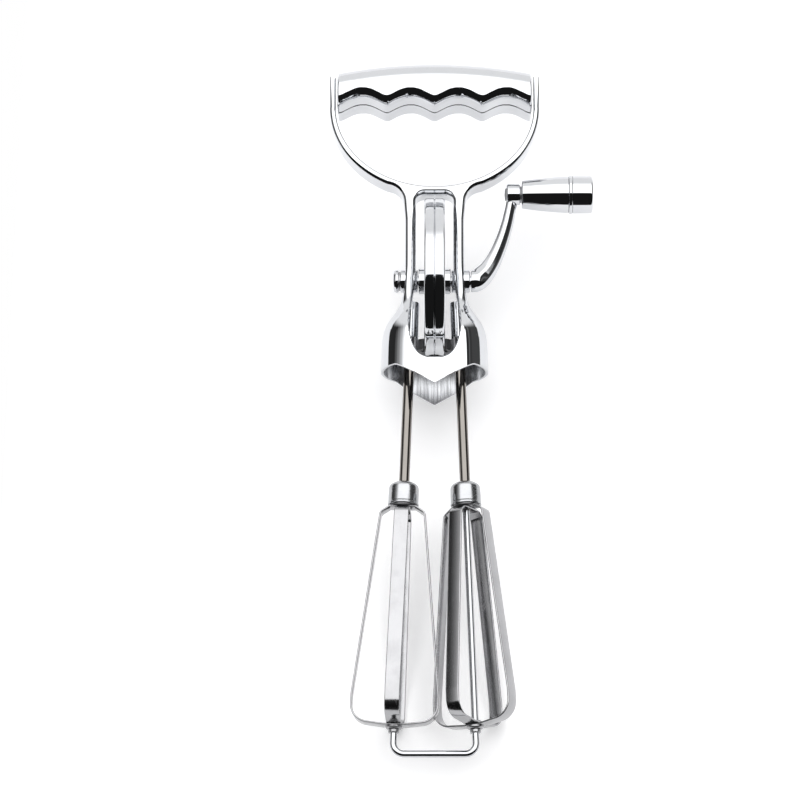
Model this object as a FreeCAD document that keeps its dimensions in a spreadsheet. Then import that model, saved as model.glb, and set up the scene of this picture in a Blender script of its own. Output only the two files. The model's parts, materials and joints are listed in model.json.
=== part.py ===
import FreeCAD, Part
import math
import os

import Sketcher

# Rotary egg beater, in millimetres.  Origin: lowest point of the support wire, midway between
# the beaters.  +Z runs up to the grip, +X to the crank, +Y to the rear of the gear housing.
# A crank turns a two-faced crown wheel, whose teeth drive one pinion and beater on each side.

doc = FreeCAD.newDocument("egg_beater")
os.makedirs("parts", exist_ok=True)
V = FreeCAD.Vector

DIMENSIONS = [
    ("axle_height", 209.0, "crank axle above the lowest point of the wire"),
    ("axle_radius", 2.5, "crank axle"),
    ("running_gap", 0.05, "radial clearance of every turning fit"),
    ("arch_height", 288.0, "centre line of the hand loop's half ellipses"),
    ("arch_outer_x", 45.7, "hand loop, outer half width"),
    ("arch_outer_z", 40.5, "hand loop, outer depth below its centre line"),
    ("arch_inner_x", 43.0, "hand loop, inner half width"),
    ("arch_inner_z", 37.0, "hand loop, inner depth below its centre line"),
    ("arm_top", 302.7, "top of the loop's arms beside the grip"),
    ("frame_depth", 11.2, "hand loop and legs, front to back"),
    ("leg_inner", 8.1, "legs, inner half spacing"),
    ("leg_outer", 12.7, "legs, outer half spacing"),
    ("slot_top", 247.8, "top of the slot between the legs"),
    ("slot_bottom", 170.0, "bottom of the slot in the housing walls"),
    ("boss_radius", 4.95, "axle bosses on the legs"),
    ("boss_outer_right", 15.2, "outer face of the right boss"),
    ("boss_outer_left", 14.7, "outer face of the left boss"),
    ("boss_inner", 7.25, "inner faces of both bosses"),
    ("house_half_width", 23.0, "gear housing, outer half width at the rim"),
    ("house_half_depth", 15.7, "gear housing, outer half depth"),
    ("house_wall", 1.35, "gear housing, wall thickness"),
    ("house_rim", 167.5, "gear housing, height of the rim at the sides"),
    ("house_point", 158.0, "gear housing, lowest points, front and rear"),
    ("house_rim_flat", 16.5, "half width where the rim starts to dip"),
    ("socket_radius", 3.3, "bosses that hold the ends of the support wire"),
    ("socket_low", 182.5, "lower end of the wire sockets"),
    ("wire_radius", 1.5, "support wire"),
    ("wire_foot_x", 17.32, "half spacing of the wire's legs at the origin height"),
    ("wire_lean", 2.17, "lean of each wire leg towards the middle, degrees"),
    ("wire_end", 195.0, "length of each wire leg above the origin height"),
    ("wire_bend", 4.5, "centre line radius of the wire's two lower bends"),
    ("tube_outer", 2.08, "drive tube, outer radius"),
    ("tube_inner", 1.55, "drive tube, inner radius"),
    ("cap_low", 108.4, "hub cap, lower edge"),
    ("cap_high", 118.5, "hub cap, top"),
    ("cap_radius", 6.55, "hub cap, outer radius"),
    ("blade_width", 6.2, "beater strips, width"),
    ("blade_gauge", 0.8, "beater strips, thickness"),
    ("blade_reach", 18.4, "beaters, largest radius"),
    ("blade_low", 26.0, "height of the largest radius"),
    ("blade_high", 105.2, "height of the shoulder bend"),
    ("blade_shoulder", 9.7, "beaters, radius at the shoulder bend"),
    ("blade_top", 108.0, "upper face of the outer hoop's top strip"),
    ("blade_floor", 13.2, "lower face of the outer hoop at the axis"),
    ("blade_rise", 1.5, "rise of the hoops' floor from the axis to the corners"),
    ("blade_corner", 8.0, "lower corner radius of the hoops"),
    ("eyelet_radius", 3.5, "flange of the lower eyelets"),
    ("wheel_radius", 35.7, "crown wheel, outer radius"),
    ("wheel_rim_inner", 33.9, "crown wheel, inside of the rim"),
    ("wheel_half_width", 4.4, "crown wheel, half width of the rim"),
    ("wheel_web", 2.0, "crown wheel, thickness of each half's web"),
    ("wheel_hub", 5.6, "crown wheel, hub radius"),
    ("wheel_hub_half", 6.9, "crown wheel, half length of the hub"),
    ("crown_teeth", 50, "teeth on each face of the crown wheel"),
    ("crown_inner", 27.5, "crown teeth, inner radius"),
    ("crown_tip", 4.3, "crown teeth, tip distance from the middle plane"),
    ("pinion_teeth", 12, "teeth on each pinion"),
    ("pinion_root", 6.0, "pinion, root radius"),
    ("pinion_tip", 8.3, "pinion, tip radius"),
    ("pinion_low", 176.3, "pinion, lower face"),
    ("pinion_high", 181.2, "pinion, upper face"),
    ("tooth_root_half", 0.9, "gear teeth, half thickness at the root"),
    ("tooth_tip_half", 0.38, "gear teeth, half thickness at the tip"),
    ("crank_start", 15.6, "inner face of the crank"),
    ("crank_radius", 40.0, "axle to knob axis"),
    ("crank_hub_radius", 4.95, "crank arm, radius at the axle"),
    ("crank_head_radius", 4.65, "crank head, radius"),
    ("crank_head_start", 31.1, "crank head, inner face"),
    ("crank_head_end", 37.0, "crank head, outer face"),
    ("knob_start", 37.6, "knob, inner face"),
    ("knob_ring_start", 58.0, "knob, start of the ring"),
    ("knob_ring_end", 59.6, "knob, start of the end cap"),
    ("knob_end", 68.4, "knob, outer face"),
    ("knob_small_radius", 6.1, "knob barrel, radius beside the crank"),
    ("knob_large_radius", 8.0, "knob barrel, radius beside the ring"),
    ("knob_ring_radius", 8.55, "knob ring, radius"),
    ("knob_cap_radius", 8.2, "knob end cap, radius"),
    ("spindle_radius", 2.0, "knob spindle"),
    ("grip_half_length", 42.3, "grip, half length"),
    ("grip_half_depth", 11.5, "grip, half depth"),
    ("grip_top", 308.2, "grip, top at the middle"),
    ("grip_shoulder", 304.0, "grip, top near its ends"),
    ("grip_end_top", 300.0, "grip, top of its end faces"),
    ("grip_bottom", 287.3, "grip, lowest line of the finger waves"),
    ("grip_wave", 3.7, "grip, depth of the finger waves"),
    ("grip_wall", 2.0, "grip, shell thickness"),
    ("tang_radius", 2.4, "tangs of the loop inside the grip"),
    ("tang_reach", 36.0, "inner ends of the tangs"),
    ("saddle_inner", 37.0, "ribs that hold the tangs, inner faces"),
    ("saddle_outer", 41.0, "ribs that hold the tangs, outer faces"),
    ("saddle_low", 290.5, "ribs that hold the tangs, lower ends"),
    ("saddle_high", 301.0, "ribs that hold the tangs, upper ends"),
    ("screw_blind", 6.0, "depth of the screw holes in the front shell"),
    ("screw_shank", 5.5, "reach of the screws into the front shell"),
    ("screw_head_radius", 2.8, "grip screws, head radius"),
    ("screw_head_height", 1.3, "grip screws, head height"),
    ("recess_radius", 2.9, "recesses for the screw heads, radius"),
    ("recess_depth", 1.6, "recesses for the screw heads, depth"),
    ("tang_height", 296.0, "height of the tangs and of the grip screws"),
    ("screw_x", 24.0, "half spacing of the grip screws"),
    ("screw_radius", 1.5, "grip screws"),
]

dim = doc.addObject("Spreadsheet::Sheet", "dim")
for row, (alias, number, meaning) in enumerate(DIMENSIONS, start=1):
    dim.set("A%d" % row, meaning)
    dim.set("B%d" % row, repr(float(number)))
    dim.setAlias("B%d" % row, alias)
doc.recompute()


# ---------------------------------------------------------------- helpers

def value(formula):
    """Number of a formula in the sheet's aliases, such as 'wheel_radius - 2'."""
    if isinstance(formula, (int, float)):
        return float(formula)
    result = dim.evalExpression(bound(formula))
    return float(getattr(result, "Value", result))


def bound(formula):
    """The same formula with every alias written as a reference to the sheet."""
    words = []
    word = ""
    for letter in formula + " ":
        if letter.isalnum() or letter in "_.":
            word += letter
            continue
        words.append("dim." + word if word in ALIASES else word)
        words.append(letter)
        word = ""
    return "".join(words).strip()


ALIASES = {alias for alias, number, meaning in DIMENSIONS}


def new_body(label, base=(0, 0, 0), turn=None):
    """A body whose own frame may lean or turn; turn is a FreeCAD.Rotation."""
    body = doc.addObject("PartDesign::Body", label)
    body.Label = label
    body.Placement = FreeCAD.Placement(V(*base), turn or FreeCAD.Rotation())
    return body


def new_sketch(body, name, plane, offset=None, turn=None):
    """Empty sketch on one of the body's own origin planes."""
    sketch = body.newObject("Sketcher::SketchObject", name)
    origin_plane = [item for item in body.Origin.OriginFeatures if item.Role == plane][0]
    sketch.AttachmentSupport = [(origin_plane, "")]
    sketch.MapMode = "FlatFace"
    sketch.AttachmentOffset = FreeCAD.Placement(V(*(offset or (0, 0, 0))), turn or FreeCAD.Rotation())
    return sketch


def drive(sketch, constraint, formula):
    """Add a constraint and, where its size is a formula, bind it to the sheet."""
    index = sketch.addConstraint(constraint)
    if isinstance(formula, str):
        sketch.setExpression("Constraints[%d]" % index, bound(formula))
    return index


def polygon(sketch, corners):
    """Closed outline.  A corner is (x, y), or (x, y, radius) when the edge that ends there
    is an arc; a positive radius bulges to the right of the direction of travel."""
    first = sketch.GeometryCount
    points = [(value(corner[0]), value(corner[1])) for corner in corners]
    bulges = [value(corner[2]) if len(corner) > 2 else 0.0 for corner in corners]
    count = len(corners)
    for index in range(count):
        start = V(*points[index - 1], 0)
        end = V(*points[index], 0)
        if bulges[index]:
            middle = arc_middle(start, end, bulges[index])
            ends = (start, end) if bulges[index] > 0 else (end, start)
            sketch.addGeometry(Part.Arc(ends[0], middle, ends[1]), False)
        else:
            sketch.addGeometry(Part.LineSegment(start, end), False)
    for index in range(count):
        edge = first + index
        after = (index + 1) % count
        end_point = 1 if bulges[index] < 0 else 2
        start_point = 2 if bulges[after] < 0 else 1
        sketch.addConstraint(
            Sketcher.Constraint("Coincident", edge, end_point, first + after, start_point))
        x, y = points[index]
        drive(sketch, Sketcher.Constraint("DistanceX", -1, 1, edge, end_point, x), corners[index][0])
        drive(sketch, Sketcher.Constraint("DistanceY", -1, 1, edge, end_point, y), corners[index][1])
        if bulges[index]:
            sketch.addConstraint(Sketcher.Constraint("Radius", edge, abs(bulges[index])))


def arc_middle(start, end, radius):
    """Middle point of the arc between two points; sketch arcs always run anticlockwise."""
    chord = end - start
    across = V(chord.y, -chord.x, 0).normalize()
    half = chord.Length / 2
    sag = abs(radius) - math.sqrt(radius * radius - half * half)
    return (start + end) / 2 + across * math.copysign(sag, radius)


def circle(sketch, x, y, radius):
    """Circle with its centre and radius driven by formulas."""
    edge = sketch.addGeometry(Part.Circle(V(value(x), value(y), 0), V(0, 0, 1), value(radius)), False)
    drive(sketch, Sketcher.Constraint("DistanceX", -1, 1, edge, 3, value(x)), x)
    drive(sketch, Sketcher.Constraint("DistanceY", -1, 1, edge, 3, value(y)), y)
    drive(sketch, Sketcher.Constraint("Radius", edge, value(radius)), radius)


def ellipse(sketch, y, half_x, half_y):
    """Upright ellipse on the sketch's vertical axis, with driven half axes."""
    wide, tall = value(half_x), value(half_y)
    centre = V(0, value(y), 0)
    shape = Part.Ellipse(centre + V(wide, 0, 0), centre + V(0, tall, 0), centre)
    edge = sketch.addGeometry(shape, False)
    sketch.exposeInternalGeometry(edge)
    sketch.addConstraint(Sketcher.Constraint("PointOnObject", edge, 3, -2))
    drive(sketch, Sketcher.Constraint("DistanceY", -1, 1, edge, 3, centre.y), y)
    sketch.addConstraint(Sketcher.Constraint("Horizontal", edge + 1))
    drive(sketch, Sketcher.Constraint("Distance", edge + 1, 2 * wide), "2 * (%s)" % half_x)
    drive(sketch, Sketcher.Constraint("Distance", edge + 2, 2 * tall), "2 * (%s)" % half_y)


def feature(body, kind, name, sketch, **settings):
    """PartDesign feature on a sketch; a text setting is a formula bound to the sheet."""
    item = body.newObject("PartDesign::" + kind, name)
    if sketch is not None:
        item.Profile = sketch
    for key, setting in settings.items():
        if isinstance(setting, str) and key in ("Length", "Length2", "Radius", "Size", "Angle"):
            item.setExpression(key, bound(setting))
        else:
            setattr(item, key, setting)
    doc.recompute()
    return item


def extrude(body, kind, name, plane, draw, length):
    """Pad or Pocket of whatever draw puts on the plane, half its length to either side."""
    sketch = new_sketch(body, name + "_sketch", plane)
    draw(sketch)
    doc.recompute()
    before = body.Shape.Volume if body.Tip else 0.0
    item = feature(body, kind, name, sketch, Length=length, Midplane=True)
    check_change(body, name, before)
    return item


def turn_about(body, kind, name, plane, axis, corners):
    """Revolution or Groove of a polygon about an axis of its sketch."""
    sketch = new_sketch(body, name + "_sketch", plane)
    polygon(sketch, corners)
    doc.recompute()
    before = body.Shape.Volume if body.Tip else 0.0
    item = feature(body, kind, name, sketch, ReferenceAxis=(sketch, [axis]), Angle=360.0)
    check_change(body, name, before)
    return item


def check_change(body, name, before):
    """Stop if a feature left the body's volume as it was."""
    if abs(body.Shape.Volume - before) < 1e-3:
        raise RuntimeError("feature %s changed nothing" % name)


def edges_where(shape, test):
    """Names of the edges whose centre and length pass the test."""
    names = []
    for index, edge in enumerate(shape.Edges, start=1):
        middle = edge.valueAt((edge.FirstParameter + edge.LastParameter) / 2)
        if test(middle, edge):
            names.append("Edge%d" % index)
    return names


def round_edges(body, name, radius, test):
    """Fillet on the edges of the body's tip that pass the test."""
    base = body.Tip
    names = edges_where(base.Shape, test)
    if not names:
        raise RuntimeError("no edges for %s" % name)
    return feature(body, "Fillet", name, None, Base=(base, names), Radius=radius)


def rectangle(x_low, x_high, y_low, y_high):
    """Draw function for a rectangle."""
    corners = [(x_low, y_low), (x_high, y_low), (x_high, y_high), (x_low, y_high)]
    return lambda sketch: polygon(sketch, corners)


def outline(corners):
    """Draw function for a polygon."""
    return lambda sketch: polygon(sketch, corners)


# ---------------------------------------------------------------- frame

HOUSE_SECTIONS = [
    # height, half width, half depth of the stadium
    (156.0, 23.15, 15.7),
    (168.0, 23.0, 15.7),
    (180.0, 22.7, 15.7),
    (186.5, 21.5, 13.6),
    (191.5, 18.6, 10.6),
    (196.5, 15.2, 7.1),
    (200.5, 13.4, 5.7),
]


def house_loft(body, kind, name, shrink):
    """Loft through the housing's stadium sections, shrunk by the wall for the hollow."""
    sketches = []
    for index, (height, half_width, half_depth) in enumerate(HOUSE_SECTIONS):
        drop = shrink * 0.8 if index > 3 else 0.0
        sketch = new_sketch(body, "%s_%d" % (name, index), "XY_Plane", offset=(0, 0, height - drop))
        rounded = half_depth - shrink
        straight = half_width - half_depth
        for side in (1, -1):
            low, high = V(side * straight, -side * rounded, 0), V(side * straight, side * rounded, 0)
            sketch.addGeometry(Part.Arc(low, V(side * (straight + rounded), 0, 0), high), False)
            sketch.addGeometry(Part.LineSegment(high, V(-side * straight, side * rounded, 0)), False)
        for edge in range(4):
            sketch.addConstraint(Sketcher.Constraint("Coincident", edge, 2, (edge + 1) % 4, 1))
            sketch.addConstraint(Sketcher.Constraint("Block", edge))
        sketches.append(sketch)
    doc.recompute()
    item = body.newObject("PartDesign::" + kind, name)
    item.Profile = sketches[0]
    item.Sections = sketches[1:]
    item.Ruled = False
    doc.recompute()
    return item


# half width and height of the wheel slot, from its lower end up towards the legs
SLOT_SIDE = [(4.0, "slot_bottom"), (6.9, 171.7), (9.2, 175.5), (10.5, 181.0), (10.7, 187.0),
             (10.0, 196.0), (8.9, 205.0)]


def frame_casting():
    """Hand loop, legs, axle bosses, gear housing and wire sockets, cast in one piece."""
    body = new_body("frame_casting")
    extrude(body, "Pad", "loop_oval", "XZ_Plane",
            lambda sketch: ellipse(sketch, "arch_height", "arch_outer_x", "arch_outer_z"), "frame_depth")
    extrude(body, "Pad", "loop_arms", "XZ_Plane",
            rectangle("-arch_outer_x", "arch_outer_x", "arch_height", "arm_top"), "frame_depth")
    extrude(body, "Pocket", "loop_above_arms", "XZ_Plane",
            rectangle(-60, 60, "arm_top", 340), 60)
    extrude(body, "Pocket", "loop_opening", "XZ_Plane",
            lambda sketch: ellipse(sketch, "arch_height", "arch_inner_x", "arch_inner_z"), 60)
    extrude(body, "Pocket", "grip_seat", "XZ_Plane",
            rectangle("-arch_inner_x", "arch_inner_x", "arch_height", 340), 60)
    extrude(body, "Pad", "legs", "XZ_Plane",
            rectangle("-leg_outer", "leg_outer", 196.0, "slot_top + 3.5"), "frame_depth")
    house_loft(body, "AdditiveLoft", "housing", 0.0)
    house_loft(body, "SubtractiveLoft", "housing_hollow", value("house_wall"))
    extrude(body, "Pocket", "rim_trim", "XZ_Plane", outline([
        (-30, 150), (30, 150), (30, "house_rim"), ("house_rim_flat", "house_rim"),
        (0, "house_point"), ("-house_rim_flat", "house_rim"), (-30, "house_rim")]), 60)
    right = SLOT_SIDE + [("leg_inner", 217.0), ("leg_inner", "slot_top - 3.5"),
                         ("leg_inner - 3.5", "slot_top")]
    left = [(-x if isinstance(x, float) else "-(%s)" % x, height) for x, height in reversed(right)]
    extrude(body, "Pocket", "wheel_slot", "XZ_Plane", outline(right + left), 60)
    for side, outer in ((1, "boss_outer_right"), (-1, "boss_outer_left")):
        word = "right" if side > 0 else "left"
        corners = [("%d * boss_inner" % side, 0), ("%d * %s" % (side, outer), 0),
                   ("%d * %s" % (side, outer), "boss_radius"), ("%d * boss_inner" % side, "boss_radius")]
        raise_axis(body, "axle_boss_" + word, corners)
        socket(body, "wire_socket_" + word, side)
        tang(body, "grip_tang_" + word, side)
    hole = new_sketch(body, "axle_hole_sketch", "YZ_Plane")
    circle(hole, 0, "axle_height", "axle_radius + running_gap")
    doc.recompute()
    feature(body, "Pocket", "axle_hole", hole, Length=80.0, Midplane=True)
    for side in (1, -1):
        wire_hole(body, "wire_hole_%s" % ("right" if side > 0 else "left"), side)
    round_edges(body, "loop_root_fillets", 7.0, lambda middle, edge:
                abs(abs(middle.x) - value("leg_outer")) < 0.4 and 244 < middle.z < 256
                and edge.Length > 10)
    return body


def raise_axis(body, name, corners):
    """Revolution about the axle line, drawn with radii measured from that line."""
    sketch = new_sketch(body, name + "_sketch", "XZ_Plane", offset=(0, value("axle_height"), 0))
    polygon(sketch, corners)
    doc.recompute()
    return feature(body, "Revolution", name, sketch, ReferenceAxis=(sketch, ["H_Axis"]), Angle=360.0)


def lean(side):
    """Rotation from upright to the line of one beater; side is 1 right, -1 left."""
    return FreeCAD.Rotation(V(0, 1, 0), -side * value("wire_lean"))


def foot(side):
    """Point where a beater's line crosses the origin height."""
    return (side * value("wire_foot_x"), 0, 0)


def along_lean(sketch, body, side):
    """Place a sketch so that its vertical axis is one beater's line."""
    sketch.AttachmentOffset = FreeCAD.Placement(
        V(side * value("wire_foot_x"), 0, 0), FreeCAD.Rotation(V(0, 0, 1), side * value("wire_lean")))


def socket(body, name, side):
    """Boss inside the housing that takes one end of the wire."""
    sketch = new_sketch(body, name + "_sketch", "XZ_Plane")
    along_lean(sketch, body, side)
    polygon(sketch, [(0, "socket_low"), ("socket_radius - 0.4", "socket_low"),
                     ("socket_radius", "socket_low + 1"), ("socket_radius", 198.5), (0, 201.5)])
    doc.recompute()
    feature(body, "Revolution", name, sketch, ReferenceAxis=(sketch, ["V_Axis"]), Angle=360.0)


def wire_hole(body, name, side):
    """Blind hole for one end of the wire."""
    sketch = new_sketch(body, name + "_sketch", "XZ_Plane")
    along_lean(sketch, body, side)
    polygon(sketch, [(0, 170), ("wire_radius", 170), ("wire_radius", "wire_end + 0.2"),
                     (0, "wire_end + 0.2")])
    doc.recompute()
    before = body.Shape.Volume
    feature(body, "Groove", name, sketch, ReferenceAxis=(sketch, ["V_Axis"]), Angle=360.0)
    check_change(body, name, before)


def tang(body, name, side):
    """Stub on a loop arm that the two grip shells clamp."""
    sketch = new_sketch(body, name + "_sketch", "XZ_Plane", offset=(0, value("tang_height"), 0))
    polygon(sketch, [("%d * (arch_inner_x + 1)" % side, 0), ("%d * tang_reach" % side, 0),
                     ("%d * tang_reach" % side, "tang_radius"), ("%d * (arch_inner_x + 1)" % side, "tang_radius")])
    doc.recompute()
    feature(body, "Revolution", name, sketch, ReferenceAxis=(sketch, ["H_Axis"]), Angle=360.0)


# ---------------------------------------------------------------- grip

WAVE_STEP = 10.4        # distance from a ridge of the finger waves to the next valley


def grip_outline():
    """Side outline of the grip: arched top, bevelled corners and finger waves below."""
    half = value("grip_half_length")
    shoulder = value("grip_shoulder")
    wave = value("grip_wave")
    middle = value("grip_bottom") + wave / 2
    top_half = half - 2.4
    wave_radius = arch_radius(WAVE_STEP, wave / 2)
    corners = [(half, "grip_end_top"),
               (top_half, "grip_shoulder"),
               (-top_half, "grip_shoulder", arch_radius(2 * top_half, value("grip_top") - shoulder)),
               (-half, "grip_end_top"),
               (-half, middle - 0.5),
               (-3.5 * WAVE_STEP, middle, 6.0)]
    for station in range(-3, 4):
        bulge = -wave_radius if station % 2 else wave_radius
        corners.append(((station + 0.5) * WAVE_STEP, middle, bulge))
    corners.append((half, middle - 0.5, 6.0))
    return corners


def grip_hollow():
    """Outline of the space inside the grip's shells."""
    half = value("grip_half_length - grip_wall")
    low = value("grip_bottom + grip_wave + grip_wall")
    return [(half, low), (half, 299.0), (half - 2.0, 301.5), (2.0 - half, 301.5), (-half, 299.0), (-half, low)]


def arch_radius(chord, rise):
    """Radius of an arc from its chord and rise."""
    return (chord * chord / 4 + rise * rise) / (2 * rise)


def grip_shell(label, front):
    """Half of the hand grip, split along its length."""
    side = -1 if front else 1
    body = new_body(label)
    pad = new_sketch(body, "outside_sketch", "XZ_Plane")
    polygon(pad, grip_outline())
    doc.recompute()
    feature(body, "Pad", "outside", pad, Length="grip_half_depth", Reversed=not front)
    depth = value("grip_half_depth")
    rim = edges_where(body.Tip.Shape, lambda middle, edge: abs(middle.y - side * depth) < 0.01)
    feature(body, "Chamfer", "outer_bevel", None, Base=(body.Tip, rim), Size=2.0)
    hollow = new_sketch(body, "hollow_sketch", "XZ_Plane")
    polygon(hollow, grip_hollow())
    doc.recompute()
    feature(body, "Pocket", "hollow", hollow, Length="grip_half_depth - grip_wall", Reversed=front)
    for end in (1, -1):
        name = "right" if end > 0 else "left"
        low, high = sorted((end * value("saddle_inner"), end * value("saddle_outer")))
        ribs = new_sketch(body, "saddle_sketch_" + name, "XZ_Plane")
        polygon(ribs, [(low, "saddle_low"), (high, "saddle_low"), (high, "saddle_high"), (low, "saddle_high")])
        post = new_sketch(body, "post_sketch_" + name, "XZ_Plane")
        circle(post, "%d * screw_x" % end, "tang_height", "screw_radius + 2")
        doc.recompute()
        feature(body, "Pad", "saddle_" + name, ribs, Length="grip_half_depth - 1", Reversed=not front)
        feature(body, "Pad", "post_" + name, post, Length="grip_half_depth - 1", Reversed=not front)
    for end in (-1, 1):
        name = "right" if end > 0 else "left"
        inner, outer = sorted((end * (value("tang_reach") - 1), end * (value("grip_half_length") + 8)))
        seat = new_sketch(body, "tang_seat_sketch_" + name, "XZ_Plane", offset=(0, value("tang_height"), 0))
        polygon(seat, [(inner, 0), (outer, 0), (outer, "tang_radius"), (inner, "tang_radius")])
        doc.recompute()
        feature(body, "Groove", "tang_seat_" + name, seat, ReferenceAxis=(seat, ["H_Axis"]), Angle=360.0)
    for end in (1, -1):
        screw_hole(body, end, front)
    return body


def screw_hole(body, end, front):
    """Screw hole through the rear shell with a recess for the head, blind in the front one."""
    name = "right" if end > 0 else "left"
    hole = new_sketch(body, "screw_hole_sketch_" + name, "XZ_Plane")
    circle(hole, "%d * screw_x" % end, "tang_height", "screw_radius")
    doc.recompute()
    reach = value("screw_blind") if front else value("grip_half_depth") + 0.5
    feature(body, "Pocket", "screw_hole_" + name, hole, Length=reach, Reversed=front)
    if front:
        return
    recess = new_sketch(body, "screw_recess_sketch_" + name, "XZ_Plane",
                        offset=(0, 0, -value("grip_half_depth")))
    circle(recess, "%d * screw_x" % end, "tang_height", "recess_radius")
    doc.recompute()
    before = body.Shape.Volume
    feature(body, "Pocket", "screw_recess_" + name, recess, Length="recess_depth", Reversed=True)
    if abs(body.Shape.Volume - before) < 1:
        body.Tip.Reversed = False
        doc.recompute()
    check_change(body, "screw_recess_" + name, before)


def screws(label):
    """Two pan-head screws that hold the grip shells together."""
    shapes = []
    for end in (1, -1):
        base = V(end * value("screw_x"), 0, value("tang_height"))
        reach = value("screw_shank")
        seat = value("grip_half_depth - recess_depth")
        top = seat + value("screw_head_height")
        shank = Part.makeCylinder(value("screw_radius"), reach + seat, base + V(0, -reach, 0), V(0, 1, 0))
        head = Part.makeCylinder(value("screw_head_radius"), top - seat, base + V(0, seat, 0), V(0, 1, 0))
        head = head.makeFillet(0.4, [edge for edge in head.Edges if edge.CenterOfMass.y > top - 0.2])
        slot_width = 0.9
        slot = Part.makeBox(5.8, 0.8, slot_width, base + V(-2.9, top - 0.5, -slot_width / 2))
        shapes.append(shank.fuse(head).removeSplitter().cut(slot))
    part = doc.addObject("Part::Feature", label)
    part.Label = label
    part.Shape = Part.makeCompound(shapes)
    return part


# ---------------------------------------------------------------- support wire

def support_wire():
    """Round wire bent to a U; its legs lean together and end in the frame's sockets."""
    body = new_body("support_wire")
    angle = math.radians(value("wire_lean"))
    bend, radius = value("wire_bend"), value("wire_radius")
    direction = V(-math.sin(angle), 0, math.cos(angle))
    base = V(*foot(1))
    corner = base + direction * (radius / direction.z)
    back = bend * math.tan((math.pi / 2 + angle) / 2)
    leg_start = corner + direction * back
    bar_end = corner + V(-back, 0, 0)
    centre = V(bar_end.x, 0, radius + bend)
    middle_direction = ((leg_start - centre).normalize() + (bar_end - centre).normalize()).normalize()
    arc_middle = centre + middle_direction * bend
    top = base + direction * value("wire_end")

    def flat(point):
        return V(point.x, point.z, 0)

    def mirror(point):
        return V(-point.x, point.y, point.z)

    path = new_sketch(body, "path_sketch", "XZ_Plane")
    path.addGeometry(Part.LineSegment(flat(mirror(top)), flat(mirror(leg_start))), False)
    path.addGeometry(Part.Arc(flat(mirror(leg_start)), flat(mirror(arc_middle)), flat(mirror(bar_end))), False)
    path.addGeometry(Part.LineSegment(flat(mirror(bar_end)), flat(bar_end)), False)
    path.addGeometry(Part.Arc(flat(bar_end), flat(arc_middle), flat(leg_start)), False)
    path.addGeometry(Part.LineSegment(flat(leg_start), flat(top)), False)
    for edge in range(5):
        path.addConstraint(Sketcher.Constraint("Block", edge))
    profile = new_sketch(body, "profile_sketch", "YZ_Plane")
    circle(profile, 0, "wire_radius", "wire_radius")
    doc.recompute()
    swept = feature(body, "AdditivePipe", "wire", profile, Spine=(path, []))
    if swept.Shape.isNull():
        raise RuntimeError("support wire sweep failed")
    return body


def wire_stops(label):
    """Collars crimped on the wire below the beaters; they carry the beaters' weight."""
    shapes = []
    for side in (1, -1):
        low = value("blade_floor") - 2.9
        collar = Part.makeCylinder(2.3, 1.6, V(0, 0, low))
        collar = collar.makeFillet(0.4, collar.Edges[:1] + collar.Edges[2:])
        bore = Part.makeCylinder(value("wire_radius"), 5, V(0, 0, low - 1))
        collar = collar.cut(bore)
        collar.Placement = FreeCAD.Placement(V(*foot(side)), lean(side))
        shapes.append(collar)
    part = doc.addObject("Part::Feature", label)
    part.Label = label
    part.Shape = Part.makeCompound(shapes)
    return part


def thrust_washer(label, side):
    """Washer on the wire between a pinion and its socket boss."""
    body = new_body(label, foot(side), lean(side))
    turn_about(body, "Revolution", "ring", "XZ_Plane", "V_Axis", [
        ("wire_radius", "pinion_high + 0.5"), (3.0, "pinion_high + 0.5"),
        (3.0, "socket_low"), ("wire_radius", "socket_low")])
    return body


# ---------------------------------------------------------------- drive

def axle():
    """Steel axle with a riveted head on the left; the crank is pressed on the right."""
    body = new_body("axle", (0, 0, value("axle_height")))
    turn_about(body, "Revolution", "turned_axle", "XZ_Plane", "H_Axis", [
        (-17.7, 0), (21.0, 0), (21.0, "axle_radius - 0.4"), (20.6, "axle_radius"),
        (-15.5, "axle_radius"), (-15.5, 5.0), (-16.5, 5.0), (-17.7, 3.8)])
    return body


def axle_washer():
    """Washer between the axle's head and the left boss."""
    body = new_body("axle_washer", (0, 0, value("axle_height")))
    turn_about(body, "Revolution", "ring", "XZ_Plane", "H_Axis", [
        (-15.45, "axle_radius"), (-14.8, "axle_radius"), (-14.8, 4.2), (-15.45, 4.2)])
    return body


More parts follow.
